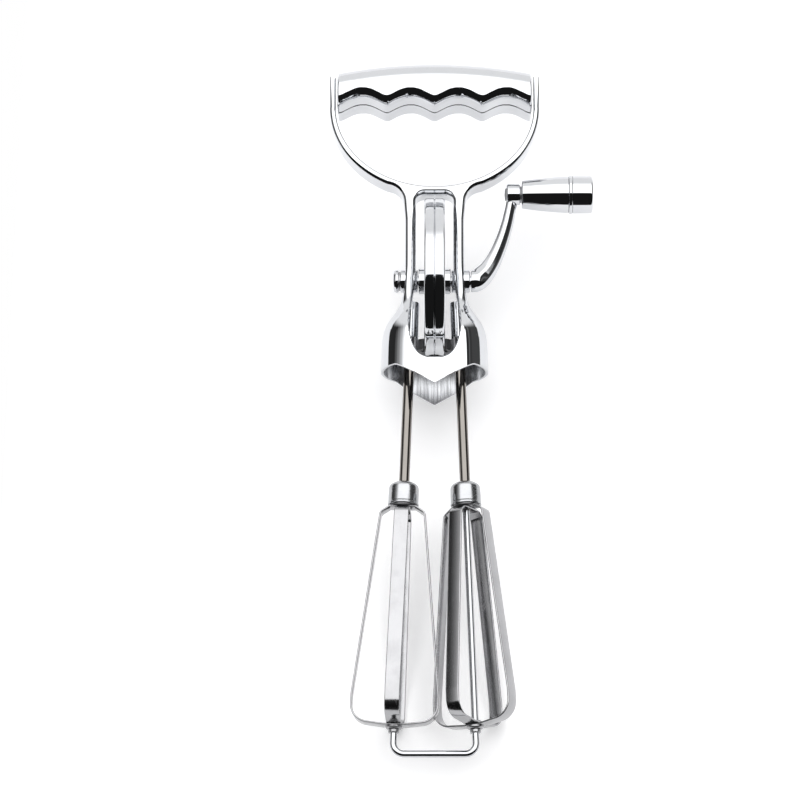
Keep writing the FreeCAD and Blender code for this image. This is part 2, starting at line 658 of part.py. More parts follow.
def wheel_half(label, side):
    """One half of the crown wheel: web, hub, rim and a ring of face teeth."""
    body = new_body(label, (0, 0, value("axle_height")))
    sign = "" if side > 0 else "-"
    corners = [("0", "axle_radius"), (sign + "wheel_hub_half", "axle_radius"),
               (sign + "wheel_hub_half", "wheel_hub"), (sign + "wheel_web", "wheel_hub"),
               (sign + "wheel_web", "wheel_rim_inner"), (sign + "wheel_half_width", "wheel_rim_inner"),
               (sign + "wheel_half_width", "wheel_radius - 0.5"),
               (sign + "wheel_web", "wheel_radius"), ("%d * 0.06" % side, "wheel_radius"),
               ("0", "wheel_radius - 0.3")]
    turn_about(body, "Revolution", "half_wheel", "XZ_Plane", "H_Axis", corners)
    tooth = new_sketch(body, "tooth_sketch", "XY_Plane", offset=(0, 0, -value("wheel_rim_inner") - 0.3))
    polygon(tooth, [(sign + "wheel_web - %d * 0.2" % side, "-tooth_root_half"),
                    (sign + "wheel_web - %d * 0.2" % side, "tooth_root_half"),
                    (sign + "crown_tip", "tooth_tip_half"), (sign + "crown_tip", "-tooth_tip_half")])
    doc.recompute()
    pad = feature(body, "Pad", "tooth", tooth, Length="wheel_rim_inner - crown_inner + 0.3")
    pattern = body.newObject("PartDesign::PolarPattern", "teeth")
    axis = [item for item in body.Origin.OriginFeatures if item.Role == "X_Axis"][0]
    pattern.Originals = [pad]
    pattern.Axis = (axis, [""])
    pattern.Angle = 360.0
    pattern.Occurrences = int(value("crown_teeth"))
    body.Tip = pattern
    doc.recompute()
    holes = new_sketch(body, "rivet_holes_sketch", "YZ_Plane")
    for third in range(3):
        angle = math.radians(90 + 120 * third)
        circle(holes, 16.0 * math.cos(angle), 16.0 * math.sin(angle), 1.5)
    doc.recompute()
    before = body.Shape.Volume
    feature(body, "Pocket", "rivet_holes", holes, Length=20.0, Midplane=True)
    check_change(body, "rivet_holes", before)
    return body


def wheel_rivets(label):
    """Three rivets that hold the wheel halves back to back."""
    shapes = []
    for third in range(3):
        angle = math.radians(90 + 120 * third)
        base = V(0, 16.0 * math.cos(angle), value("axle_height") + 16.0 * math.sin(angle))
        web = value("wheel_web")
        shank = Part.makeCylinder(1.5, 2 * web + 0.6, base - V(web + 0.3, 0, 0), V(1, 0, 0))
        for side in (1, -1):
            dome = Part.makeSphere(2.6, base + V(side * (web - 1.0), 0, 0))
            cutter = Part.makeBox(10, 10, 10, base + V(web if side > 0 else -web - 10, -5, -5))
            shank = shank.fuse(dome.common(cutter))
        shapes.append(shank.removeSplitter())
    part = doc.addObject("Part::Feature", label)
    part.Label = label
    part.Shape = Part.makeCompound(shapes)
    return part


CRANK_LINE = [
    # x, height, slope in degrees and radius of the arm along its centre line
    (16.2, 209.0, 0.0, 4.9), (20.2, 211.2, 38.0, 4.3), (23.4, 214.8, 56.0, 3.75),
    (26.2, 220.0, 65.5, 3.4), (29.1, 227.4, 71.5, 3.0), (31.4, 235.3, 76.0, 2.7),
    (33.0, 243.0, 80.0, 2.5), (33.8, 248.0, 84.0, 2.4),
]


def crank_arm():
    """Cast crank: a hub on the axle, a tapered S-shaped arm and a head for the knob."""
    body = new_body("crank_arm")
    sections = []
    for index, (x, z, slope, radius) in enumerate(CRANK_LINE):
        section = new_sketch(body, "arm_section_%d" % index, "XY_Plane", offset=(x, 0, z),
                             turn=FreeCAD.Rotation(V(0, 1, 0), 90.0 - slope))
        circle(section, 0, 0, radius)
        sections.append(section)
    doc.recompute()
    loft = body.newObject("PartDesign::AdditiveLoft", "arm")
    loft.Profile = sections[0]
    loft.Sections = sections[1:]
    doc.recompute()
    hub = new_sketch(body, "hub_sketch", "XZ_Plane", offset=(0, value("axle_height"), 0))
    polygon(hub, [("crank_start", 0), (22.0, 0), (21.0, 3.2), (18.5, "crank_hub_radius"),
                  ("crank_start", "crank_hub_radius")])
    head = new_sketch(body, "head_sketch", "XZ_Plane",
                      offset=(0, value("axle_height + crank_radius"), 0))
    polygon(head, [("crank_head_start", 0), ("crank_head_end", 0),
                   ("crank_head_end", "crank_head_radius - 0.4"),
                   ("crank_head_end - 0.4", "crank_head_radius"),
                   ("crank_head_start + 0.9", "crank_head_radius"),
                   ("crank_head_start", "crank_head_radius - 0.9")])
    doc.recompute()
    feature(body, "Revolution", "hub", hub, ReferenceAxis=(hub, ["H_Axis"]), Angle=360.0)
    feature(body, "Revolution", "head", head, ReferenceAxis=(head, ["H_Axis"]), Angle=360.0)
    bore = new_sketch(body, "bore_sketch", "XZ_Plane", offset=(0, value("axle_height"), 0))
    polygon(bore, [(10, 0), (21.0, 0), (21.0, "axle_radius - 0.4"), (20.6, "axle_radius"),
                   (10, "axle_radius")])
    eye = new_sketch(body, "eye_sketch", "XZ_Plane",
                     offset=(0, value("axle_height + crank_radius"), 0))
    polygon(eye, [("crank_head_start - 3", 0), ("crank_head_end + 3", 0),
                  ("crank_head_end + 3", "spindle_radius"), ("crank_head_start - 3", "spindle_radius")])
    doc.recompute()
    before = body.Shape.Volume
    feature(body, "Groove", "bore", bore, ReferenceAxis=(bore, ["H_Axis"]), Angle=360.0)
    check_change(body, "bore", before)
    feature(body, "Groove", "eye", eye, ReferenceAxis=(eye, ["H_Axis"]), Angle=360.0)
    return body


# ---------------------------------------------------------------- knob

def knob_piece(label, corners):
    """Turned piece on the knob's axis."""
    body = new_body(label, (0, 0, value("axle_height + crank_radius")))
    turn_about(body, "Revolution", "turned", "XZ_Plane", "H_Axis", corners)
    return body


def knob_spindle():
    """Pin riveted in the crank's head; its own head keeps the knob on."""
    return knob_piece("knob_spindle", [
        (30.2, 0), (62.5, 0), (62.5, 3.0), (61.9, 3.4), (61.0, 3.4), (61.0, "spindle_radius"),
        (37.55, "spindle_radius"), (37.55, 3.6), (37.0, 3.6), (37.0, "spindle_radius"),
        (31.1, "spindle_radius"), (31.1, 2.9), (30.5, 2.6)])


def knob_barrel():
    """Tapered barrel that turns on the spindle."""
    return knob_piece("knob_barrel", [
        ("knob_start", "spindle_radius + running_gap"), (60.9, "spindle_radius + running_gap"),
        (60.9, 5.0), ("knob_ring_start", 5.0), ("knob_ring_start", "knob_large_radius"),
        ("knob_start + 0.5", "knob_small_radius", 120.0), ("knob_start", "knob_small_radius - 0.5")])


def knob_ring():
    """Raised ring between barrel and end cap."""
    return knob_piece("knob_ring", [
        ("knob_ring_start", 5.0), ("knob_ring_end", 5.0), ("knob_ring_end", "knob_ring_radius - 0.3"),
        ("knob_ring_end - 0.3", "knob_ring_radius"), ("knob_ring_start + 0.3", "knob_ring_radius"),
        ("knob_ring_start", "knob_ring_radius - 0.3")])


def knob_end_cap():
    """Cup that closes the knob over the spindle's head."""
    return knob_piece("knob_end_cap", [
        ("knob_ring_end", 5.0), (63.6, 5.0), (63.6, 0), ("knob_end", 0),
        ("knob_end", "knob_cap_radius - 1.1"), ("knob_end - 1.1", "knob_cap_radius", 1.2),
        ("knob_ring_end", "knob_cap_radius")])


# ---------------------------------------------------------------- beaters

def beater_frame(side, spin):
    """Placement data of one beater: foot point, and lean after its spin about its own line."""
    return foot(side), lean(side).multiply(FreeCAD.Rotation(V(0, 0, 1), spin))


def drive_tube(label, side):
    """Tube that turns on the wire from the pinion down into the hub cap."""
    body = new_body(label, *beater_frame(side, 0))
    turn_about(body, "Revolution", "tube", "XZ_Plane", "V_Axis", [
        ("tube_inner", "blade_top - 2 * blade_gauge"), ("tube_outer", "blade_top - 2 * blade_gauge"),
        ("tube_outer", "pinion_high"), ("tube_inner", "pinion_high")])
    return body


def pinion(label, side):
    """Small gear pressed on the tube, in mesh with the crown wheel's face."""
    # the crown has a tooth at its bottom, so a gap of the pinion faces the wheel there
    half_pitch = 180.0 / value("pinion_teeth")
    spin = half_pitch + (180.0 if side > 0 else 0.0)
    body = new_body(label, *beater_frame(side, spin))
    turn_about(body, "Revolution", "blank", "XZ_Plane", "V_Axis", [
        ("tube_outer", "pinion_low"), ("pinion_root", "pinion_low"),
        ("pinion_root", "pinion_high"), ("tube_outer", "pinion_high")])
    tooth = new_sketch(body, "tooth_sketch", "XY_Plane", offset=(0, 0, value("pinion_low")))
    polygon(tooth, [("pinion_root - 0.4", "-tooth_root_half"), ("pinion_tip", "-tooth_tip_half"),
                    ("pinion_tip", "tooth_tip_half"), ("pinion_root - 0.4", "tooth_root_half")])
    doc.recompute()
    pad = feature(body, "Pad", "tooth", tooth, Length="pinion_high - pinion_low")
    pattern = body.newObject("PartDesign::PolarPattern", "teeth")
    axis = [item for item in body.Origin.OriginFeatures if item.Role == "Z_Axis"][0]
    pattern.Originals = [pad]
    pattern.Axis = (axis, [""])
    pattern.Angle = 360.0
    pattern.Occurrences = int(value("pinion_teeth"))
    body.Tip = pattern
    doc.recompute()
    return body


def hub_cap(label, side):
    """Domed cap pressed on the tube over the tops of the hoops."""
    body = new_body(label, *beater_frame(side, 0))
    turn_about(body, "Revolution", "dome", "XZ_Plane", "V_Axis", [
        ("tube_outer", "cap_high - 0.8"), ("tube_outer + 0.9", "cap_high"),
        ("cap_radius - 0.5", "cap_high - 4.6", -6.2), ("cap_radius - 0.5", "cap_low + 0.9"),
        ("cap_radius", "cap_low + 0.5"), ("cap_radius", "cap_low"),
        ("cap_radius - 1.1", "cap_low"), ("cap_radius - 1.3", "cap_high - 4.6"),
        ("tube_outer + 0.9", "cap_high - 1.7", 5.6), ("tube_outer", "cap_high - 1.7")])
    return body


def blade_plate(label, side):
    """Disc inside the cap that clamps the tops of the hoops."""
    body = new_body(label, *beater_frame(side, 0))
    turn_about(body, "Revolution", "disc", "XZ_Plane", "V_Axis", [
        ("tube_outer", "blade_top"), ("cap_radius - 1.25", "blade_top"),
        ("cap_radius - 1.25", "blade_top + 1.6"), ("tube_outer", "blade_top + 1.6")])
    return body


def hoop(label, side, spin, inner):
    """Closed hoop of steel strip; the inner one lies crosswise inside the outer one."""
    body = new_body(label, *beater_frame(side, spin))
    gauge = value("blade_gauge")
    drop = gauge if inner else 0.0
    sketch = new_sketch(body, "strip_sketch", "XZ_Plane")
    polygon(sketch, hoop_line(drop))
    polygon(sketch, hoop_line(drop + gauge))
    doc.recompute()
    feature(body, "Pad", "strip", sketch, Length="blade_width", Midplane=True)
    bore = new_sketch(body, "bore_sketch", "XZ_Plane")
    polygon(bore, [(0, 100), ("tube_outer", 100), ("tube_outer", 112), (0, 112)])
    lower = new_sketch(body, "lower_sketch", "XZ_Plane")
    polygon(lower, [(0, 5), ("wire_radius + 0.6", 5), ("wire_radius + 0.6", 20), (0, 20)])
    doc.recompute()
    before = body.Shape.Volume
    feature(body, "Groove", "tube_hole", bore, ReferenceAxis=(bore, ["V_Axis"]), Angle=360.0)
    check_change(body, "tube_hole", before)
    before = body.Shape.Volume
    feature(body, "Groove", "eyelet_hole", lower, ReferenceAxis=(lower, ["V_Axis"]), Angle=360.0)
    check_change(body, "eyelet_hole", before)
    return body


def hoop_line(inset):
    """Outline of a hoop, moved inwards by inset."""
    top = value("blade_top") - inset
    floor = value("blade_floor") + inset
    wide = value("blade_reach") - inset
    corner = value("blade_corner") - inset
    knee = floor + value("blade_rise")
    half = [
        (5.6 - 0.3 * inset, top),
        (value("blade_shoulder") - inset, value("blade_high") - 0.75 * inset),
        (wide, value("blade_low")),
        (wide, knee + corner),
        (wide - corner, knee, -corner - 1e-6),
        (4.0, floor),
    ]
    mirrored = [(-corner_point[0], corner_point[1]) for corner_point in reversed(half)]
    mirrored[2] = (mirrored[2][0], mirrored[2][1], -corner - 1e-6)
    return half + mirrored


def eyelet(label, side):
    """Tubular rivet that joins both hoops at the bottom and runs on the wire."""
    body = new_body(label, *beater_frame(side, 0))
    turn_about(body, "Revolution", "eyelet", "XZ_Plane", "V_Axis", [
        ("wire_radius + running_gap", "blade_floor - 1.2"),
        ("eyelet_radius - 0.5", "blade_floor - 1.2"), ("eyelet_radius", "blade_floor - 0.7"),
        ("eyelet_radius", "blade_floor"), ("wire_radius + 0.6", "blade_floor"),
        ("wire_radius + 0.6", "blade_floor + 2 * blade_gauge"),
        ("eyelet_radius - 0.7", "blade_floor + 2 * blade_gauge"),
        ("eyelet_radius - 0.7", "blade_floor + 2 * blade_gauge + 0.6"),
        ("wire_radius + running_gap", "blade_floor + 2 * blade_gauge + 0.6")])
    return body


# ---------------------------------------------------------------- assembly

SPIN_AT_REST = {"left": -3.3, "right": -26.5}

parts = [
    frame_casting(),
    grip_shell("grip_front_shell", True),
    grip_shell("grip_rear_shell", False),
    screws("grip_screws"),
    support_wire(),
    wire_stops("wire_stops"),
    axle(),
    axle_washer(),
    wheel_half("wheel_left_half", -1),
    wheel_half("wheel_right_half", 1),
    wheel_rivets("wheel_rivets"),
    crank_arm(),
    knob_spindle(),
    knob_barrel(),
    knob_ring(),
    knob_end_cap(),
]
for word, side in (("left", -1), ("right", 1)):
    spin = SPIN_AT_REST[word]
    parts += [
        thrust_washer("thrust_washer_" + word, side),
        drive_tube("drive_tube_" + word, side),
        pinion("pinion_" + word, side),
        hub_cap("hub_cap_" + word, side),
        blade_plate("blade_plate_" + word, side),
        hoop("outer_hoop_" + word, side, spin, False),
        hoop("inner_hoop_" + word, side, spin + 90.0, True),
        eyelet("eyelet_" + word, side),
    ]

doc.recompute()
for item in doc.Objects:
    if "Invalid" in item.State or "Error" in item.State:
        raise RuntimeError("%s failed: %s" % (item.Name, item.State))
for part in parts:
    shape = part.Shape
    if shape.isNull() or not shape.isValid():
        raise RuntimeError("%s has no valid shape" % part.Label)
    shape.exportStep("parts/%s.step" % part.Label)
    print("%-20s solids %d  volume %9.1f" % (part.Label, len(shape.Solids), shape.Volume))
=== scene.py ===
import json
from math import atan2, copysign, cos, dist, pi, radians, sin, sqrt, tan

import bpy
from bpy.props import FloatProperty, FloatVectorProperty, PointerProperty
from mathutils import Matrix, Vector


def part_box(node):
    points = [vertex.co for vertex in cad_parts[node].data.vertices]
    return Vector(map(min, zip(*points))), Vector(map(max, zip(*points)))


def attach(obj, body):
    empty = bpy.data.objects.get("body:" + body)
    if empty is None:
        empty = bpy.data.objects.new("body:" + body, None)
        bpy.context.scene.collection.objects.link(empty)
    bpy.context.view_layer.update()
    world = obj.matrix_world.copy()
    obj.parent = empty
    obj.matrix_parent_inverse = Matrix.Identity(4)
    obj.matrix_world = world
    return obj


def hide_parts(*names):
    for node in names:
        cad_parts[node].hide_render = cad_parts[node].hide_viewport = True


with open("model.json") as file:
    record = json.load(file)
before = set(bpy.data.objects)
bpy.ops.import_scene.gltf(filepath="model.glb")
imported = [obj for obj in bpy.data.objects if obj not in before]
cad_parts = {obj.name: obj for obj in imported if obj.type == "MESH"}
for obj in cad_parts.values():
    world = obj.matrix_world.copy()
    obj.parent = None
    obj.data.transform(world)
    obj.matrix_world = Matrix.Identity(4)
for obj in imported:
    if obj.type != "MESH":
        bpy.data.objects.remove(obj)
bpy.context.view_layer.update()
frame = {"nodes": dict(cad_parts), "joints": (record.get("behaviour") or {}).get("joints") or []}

bl_info = {
    "name": "Egg Beater Looks",
    "version": (1, 0, 0),
    "blender": (4, 5, 0),
    "location": "View3D > Sidebar > Egg Beater",
    "description": "Chrome and steel pieces, studio and camera around a packed rotary egg beater",
    "category": "Object",
}

MM = 0.001
UP = Vector((0, 0, 1))
RIGHT = Vector((1, 0, 0))
REAR = Vector((0, 1, 0))
SMOOTH_ANGLE = 35  # degrees; sharper edges stay sharp
MERGE_DISTANCE = 0.002  # corners closer than this become one


# ---- places taken from the frame

def joint(name):
    """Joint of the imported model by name."""
    return [item for item in frame["joints"] if item["name"] == name][0]


def low(node):
    """Lowest corner of a CAD node, in millimetres."""
    return Vector(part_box(node)[0]) / MM


def high(node):
    """Highest corner of a CAD node, in millimetres."""
    return Vector(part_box(node)[1]) / MM


def beater_line(word):
    """Foot point and direction of one beater's own line."""
    spin = joint(word + "_beater_spin")
    return Vector(spin["pos_m"]) / MM, Vector(spin["axis"]).normalized()


AXLE = Vector(joint("crank_turn")["pos_m"]) / MM
KNOB_AXIS = Vector((0, 0, joint("knob_spin")["pos_m"][2])) / MM
WHEEL_RADIUS = high("wheel_right_half").z - AXLE.z
SPIN_AT_REST = {"left": -3.3, "right": -32.0}


# ---- modelling

def deselect():
    """Leave nothing selected, in object mode."""
    if bpy.context.object and bpy.context.object.mode != "OBJECT":
        bpy.ops.object.mode_set(mode="OBJECT")
    bpy.ops.object.select_all(action="DESELECT")


def pick(*objects):
    """Select these objects only and make the first one active."""
    deselect()
    for item in objects:
        item.select_set(True)
    bpy.context.view_layer.objects.active = objects[0]


def chain(name, points):
    """Line of edges through points in millimetres, drawn by extruding one corner."""
    deselect()
    bpy.ops.mesh.primitive_plane_add(size=MM, location=(0, 0, 0))
    piece = bpy.context.object
    piece.name = piece.data.name = name
    bpy.ops.object.mode_set(mode="EDIT")
    select_mesh()
    bpy.ops.mesh.merge(type="CENTER")
    bpy.ops.transform.translate(value=Vector(points[0]) * MM)
    for last, point in zip(points, points[1:]):
        extrude((Vector(point) - Vector(last)) * MM)
    return piece


def extrude(way):
    """Extrude the selection by a vector in metres, in edit mode."""
    bpy.ops.mesh.extrude_region_move(TRANSFORM_OT_translate={"value": way})


def select_mesh():
    """Select the whole mesh, in edit mode."""
    bpy.ops.mesh.select_all(action="SELECT")


def merge_corners():
    """Merge corners that fall together, in edit mode."""
    select_mesh()
    bpy.ops.mesh.remove_doubles(threshold=MERGE_DISTANCE * MM)


def close_mesh():
    """Merge corners and point the normals outwards, in edit mode."""
    merge_corners()
    bpy.ops.mesh.normals_make_consistent(inside=False)


def smooth(piece, angle=SMOOTH_ANGLE):
    """Smooth shading except at edges sharper than the angle."""
    pick(piece)
    bpy.ops.object.shade_smooth_by_angle(angle=radians(angle))


def apply_place(piece):
    """Keep a piece where it is and put its origin at the world's."""
    pick(piece)
    bpy.ops.object.transform_apply(location=True, rotation=True, scale=True)


def finish_mesh(piece, angle=SMOOTH_ANGLE):
    """Back to object mode, in place at the origin, smooth except at real edges."""
    apply_place(piece)
    smooth(piece, angle)
    return piece


def clamp(share):
    """Share held between 0 and 1."""
    return min(max(share, 0), 1)


def ease(share):
    """Share from 0 to 1 with a soft start and end."""
    return share * share * (3 - 2 * share)


def round_path(point, way, turn, radius):
    """Point at an angle round a path in the XZ plane."""
    across = way.cross(REAR)
    return point + (across * cos(turn) + REAR * sin(turn)) * radius


def rounded(corners, steps):
    """Polyline through corners (a, b) or (a, b, radius), with each given corner rounded."""
    line = []
    count = len(corners)
    for index, corner in enumerate(corners):
        here = Vector(corner[:2])
        if len(corner) < 3 or index in (0, count - 1):
            line.append(tuple(here))
            continue
        before = (Vector(corners[index - 1][:2]) - here).normalized()
        after = (Vector(corners[index + 1][:2]) - here).normalized()
        half = before.angle(after) / 2
        reach = corner[2] / tan(half)
        start, end = here + before * reach, here + after * reach
        centre = here + (before + after).normalized() * (corner[2] / sin(half))
        first = start - centre
        sweep = first.angle_signed(end - centre)
        for step in range(steps + 1):
            turn = Matrix.Rotation(-sweep * step / steps, 2)
            line.append(tuple(centre + turn @ first))
    return line


def turned(name, corners, bends, base, axis, steps):
    """Piece turned on a lathe: corners are (distance along the axis, radius) and perhaps a bend."""
    side = axis.orthogonal().normalized()
    if abs(axis.dot(RIGHT)) > 0.9:
        side = -REAR
    points = [base + axis * along + side * radius for along, radius in rounded(corners, bends)]
    piece = chain(name, points)
    select_mesh()
    bpy.ops.mesh.spin(steps=steps, angle=2 * pi, center=base * MM, axis=axis)
    close_mesh()
    return finish_mesh(piece)


def surface(name, place, rows, columns, angle=SMOOTH_ANGLE):
    """Capped tube over a grid: place(u, v) puts the corners, u runs along it and v round it."""
    deselect()
    bpy.ops.mesh.primitive_grid_add(x_subdivisions=rows, y_subdivisions=columns, size=2)
    piece = bpy.context.object
    piece.name = piece.data.name = name
    for corner in piece.data.vertices:
        u, v = (corner.co.x + 1) / 2, (corner.co.y + 1) / 2
        corner.co = Vector(place(u, v)) * MM
    bpy.ops.object.mode_set(mode="EDIT")
    merge_corners()
    bpy.ops.mesh.select_all(action="DESELECT")
    bpy.ops.mesh.select_mode(type="EDGE")
    bpy.ops.mesh.select_non_manifold()
    bpy.ops.mesh.edge_face_add()
    bpy.ops.mesh.select_mode(type="VERT")
    select_mesh()
    bpy.ops.mesh.normals_make_consistent(inside=False)
    return finish_mesh(piece, angle)


def join(name, *pieces):
    """Join pieces into the first one and name it."""
    pick(*pieces)
    bpy.ops.object.join()
    joined = bpy.context.object
    joined.name = joined.data.name = name
    return joined


def modify(piece, kind, **settings):
    """Add a modifier with these settings and apply it."""
    pick(piece)
    modifier = piece.modifiers.new(kind.lower(), kind)
    for key, setting in settings.items():
        setattr(modifier, key, setting)
    bpy.ops.object.modifier_apply(modifier=modifier.name)


def cut_away(piece, tool):
    """Cut the tool out of the piece and throw the tool away."""
    modify(piece, "BOOLEAN", operation="DIFFERENCE", solver="EXACT", object=tool)
    bpy.data.objects.remove(tool)


def bevel(piece, width, segments, angle):
    """Round every edge that is sharper than the angle, or by edge weights if it is None."""
    if angle is None:
        limit = {"limit_method": "WEIGHT", "use_clamp_overlap": False}
    else:
        limit = {"limit_method": "ANGLE", "angle_limit": radians(angle)}
    modify(piece, "BEVEL", width=width * MM, segments=segments, **limit)
    smooth(piece)


def slab(name, outline, front, rear):
    """Flat plate: an outline of (x, z) points between two depths."""
    piece = chain(name, [(x, front, z) for x, z in outline])
    select_mesh()
    bpy.ops.mesh.edge_face_add()
    extrude((0, (rear - front) * MM, 0))
    close_mesh()
    return finish_mesh(piece)


def coat(piece, name):
    """Give a piece one finish by name."""
    piece.data.materials.clear()
    piece.data.materials.append(finish(name))


def settle(piece, body, slot, name, *nodes):
    """Put a finished piece on its body, with its finish, over its CAD nodes; the slot is not used.
    """
    coat(piece, name)
    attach(piece, body)
    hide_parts(*nodes)


# ---- finishes

class Wire:
    """Output socket of a node tree with arithmetic on it."""

    def __init__(self, tree, socket):
        self.tree = tree
        self.socket = socket

    def math(self, operation, *others):
        return self.tree.add("Math", {"operation": operation}, self, *others)["Value"]

    def __add__(self, other):
        return self.math("ADD", other)

    def __mul__(self, other):
        return self.math("MULTIPLY", other)

    def __sub__(self, other):
        return self.math("SUBTRACT", other)

    def __rsub__(self, other):
        return (self * -1.0) + other

    def __truediv__(self, other):
        return self.math("DIVIDE", other)

    __radd__ = __add__
    __rmul__ = __mul__

    def ramp(self, start, end):
        """0 below start, 1 above end, smooth between."""
        settings = {"interpolation_type": "SMOOTHSTEP"}
        return self.tree.add("MapRange", settings, self, start, end)["Result"]


class Tree:
    """Node tree with one method that adds any node."""

    def __init__(self, owner):
        owner.use_nodes = True
        self.nodes = owner.node_tree.nodes
        self.links = owner.node_tree.links
        self.nodes.clear()

    def add(self, kind, settings, *values, **named):
        """Add a node; settings come first, then inputs in order or by name."""
        node = self.nodes.new("ShaderNode" + kind)
        for key, setting in settings.items():
            setattr(node, key, setting)
        pairs = list(zip(node.inputs, values))
        pairs += [(node.inputs[key.replace("_", " ")], value) for key, value in named.items()]
        for socket, value in pairs:
            if isinstance(value, Wire):
                self.links.new(value.socket, socket)
            elif value is not None:
                socket.default_value = value
        return {output.name: Wire(self, output) for output in node.outputs if output.enabled}

    def mix(self, factor, first, second):
        """Colour mix of two colours or wires."""
        node = self.nodes.new("ShaderNodeMix")
        node.data_type = "RGBA"
        for index, value in ((0, factor), (6, first), (7, second)):
            if isinstance(value, Wire):
                self.links.new(value.socket, node.inputs[index])
            elif index == 0:
                node.inputs[index].default_value = value
            else:
                node.inputs[index].default_value = (*value[:3], 1)
        return Wire(self, node.outputs[2])

    def curve(self, value, start, end, stops):
        """Broken line through stops (position, height) with heights from 0 to 1."""
        share = (value - start) / (end - start)
        node = self.nodes.new("ShaderNodeValToRGB")
        self.links.new(share.socket, node.inputs[0])
        elements = node.color_ramp.elements
        while len(elements) < len(stops):
            elements.new(0.5)
        for element, (position, height) in zip(elements, stops):
            element.position = (position - start) / (end - start)
            element.color = (height, height, height, 1)
        return Wire(self, node.outputs[0])

    def noise(self, place, scale, detail=3.0, stretch=(1, 1, 1)):
        """Noise on object coordinates, stretched by a Mapping node."""
        moved = self.add("Mapping", {}, place, Scale=stretch)["Vector"]
        settings = {"noise_dimensions": "3D"}
        return self.add("TexNoise", settings, Vector=moved, Scale=scale, Detail=detail)["Fac"]


# noise scales on object coordinates, in cycles a metre, and bump heights in metres
CLOUD, SCRATCH, STREAK, MARK, BRUSH, RIPPLE = 90.0, 1400.0, 700.0, 260.0, 2200.0, 60.0
SCRATCH_DEPTH, RIPPLE_DEPTH = 0.000004, 0.00008
# colour of the painted shade on the housing's inner walls
PAINTED_SHADE_COLOUR = (0.13, 0.13, 0.14)
# inner walls of the casting, rougher and darkened with painted shade, in metres: half their
# straight run, then blurred edges, then the heights below which the painted shade deepens towards
# the lower lip
INNER_RUN = 0.0074
INNER_REACH, INNER_TOP, SHADED_LIP_HEIGHTS = (0.0149, 0.0151), (0.178, 0.182), (0.158, 0.167)


def metal(name, colour, roughness, scratch, ripple, grain, tint, inside=None):
    """Plated or bare metal: polish that varies, fine scratches, a slightly uneven surface and, on
    inner walls if given, painted shade.
    """
    material = bpy.data.materials.new(name)
    tree = Tree(material)
    place = tree.add("TexCoord", {})["Object"]
    cloud = tree.noise(place, CLOUD, 4.0)
    fine = tree.noise(place, SCRATCH, 2.0, grain)
    streak = tree.noise(place, STREAK, 3.0, grain)
    worn = tree.noise(place, MARK, 5.0, (1, 1, 0.15)).ramp(0.62, 0.72)
    base = tree.mix(cloud.ramp(0.35, 0.7) * 0.6, colour, scaled(colour, 1 - tint * 2.2))
    base = tree.mix(worn * 0.25, base, scaled(colour, 0.9))
    rough = roughness + cloud.ramp(0.4, 0.75) * (roughness * 0.35)
    rough = rough + streak.ramp(0.5, 0.8) * (roughness * 0.4) + worn * (roughness * 0.8)
    if inside:
        hidden = inside(tree, place)
        brushed = tree.noise(place, BRUSH, 3.0, (1, 1, 0.03))
        rough = rough + hidden * (brushed * 0.2 + 0.12)
        # painted shade: the inner walls darken towards the lower lip and in brushed streaks
        lip_shade = 1.0 - tree.add("SeparateXYZ", {}, place)["Z"].ramp(*SHADED_LIP_HEIGHTS)
        painted_shade = brushed.ramp(0.35, 0.65) * 0.35 + lip_shade * 0.65
        base = tree.mix(hidden * painted_shade, base, PAINTED_SHADE_COLOUR)
    uneven = tree.noise(place, RIPPLE, 1.0)
    waves = tree.add("Bump", {}, Strength=ripple, Distance=RIPPLE_DEPTH, Height=uneven)
    bumps = tree.add("Bump", {}, Strength=scratch, Distance=SCRATCH_DEPTH, Height=fine,
                     Normal=waves["Normal"])
    shader = tree.add("BsdfPrincipled", {}, Base_Color=base, Metallic=1.0, Roughness=rough,
                      Normal=bumps["Normal"])
    tree.add("OutputMaterial", {}, shader["BSDF"])
    return material


def scaled(colour, share):
    """Colour with each channel multiplied by the share."""
    return tuple(share * channel for channel in colour)


def inside_housing(tree, place):
    """1 on the inner walls of the gear housing, which get rougher polish and painted shade, 0
    elsewhere on the casting.
    """
    parts = tree.add("SeparateXYZ", {}, place)
    across = (parts["X"].math("ABSOLUTE") - INNER_RUN).math("MAXIMUM", 0.0)
    reach = (across * across + parts["Y"] * parts["Y"]).math("SQRT")
    return (1.0 - reach.ramp(*INNER_REACH)) * (1.0 - parts["Z"].ramp(*INNER_TOP))


FINISHES = {}


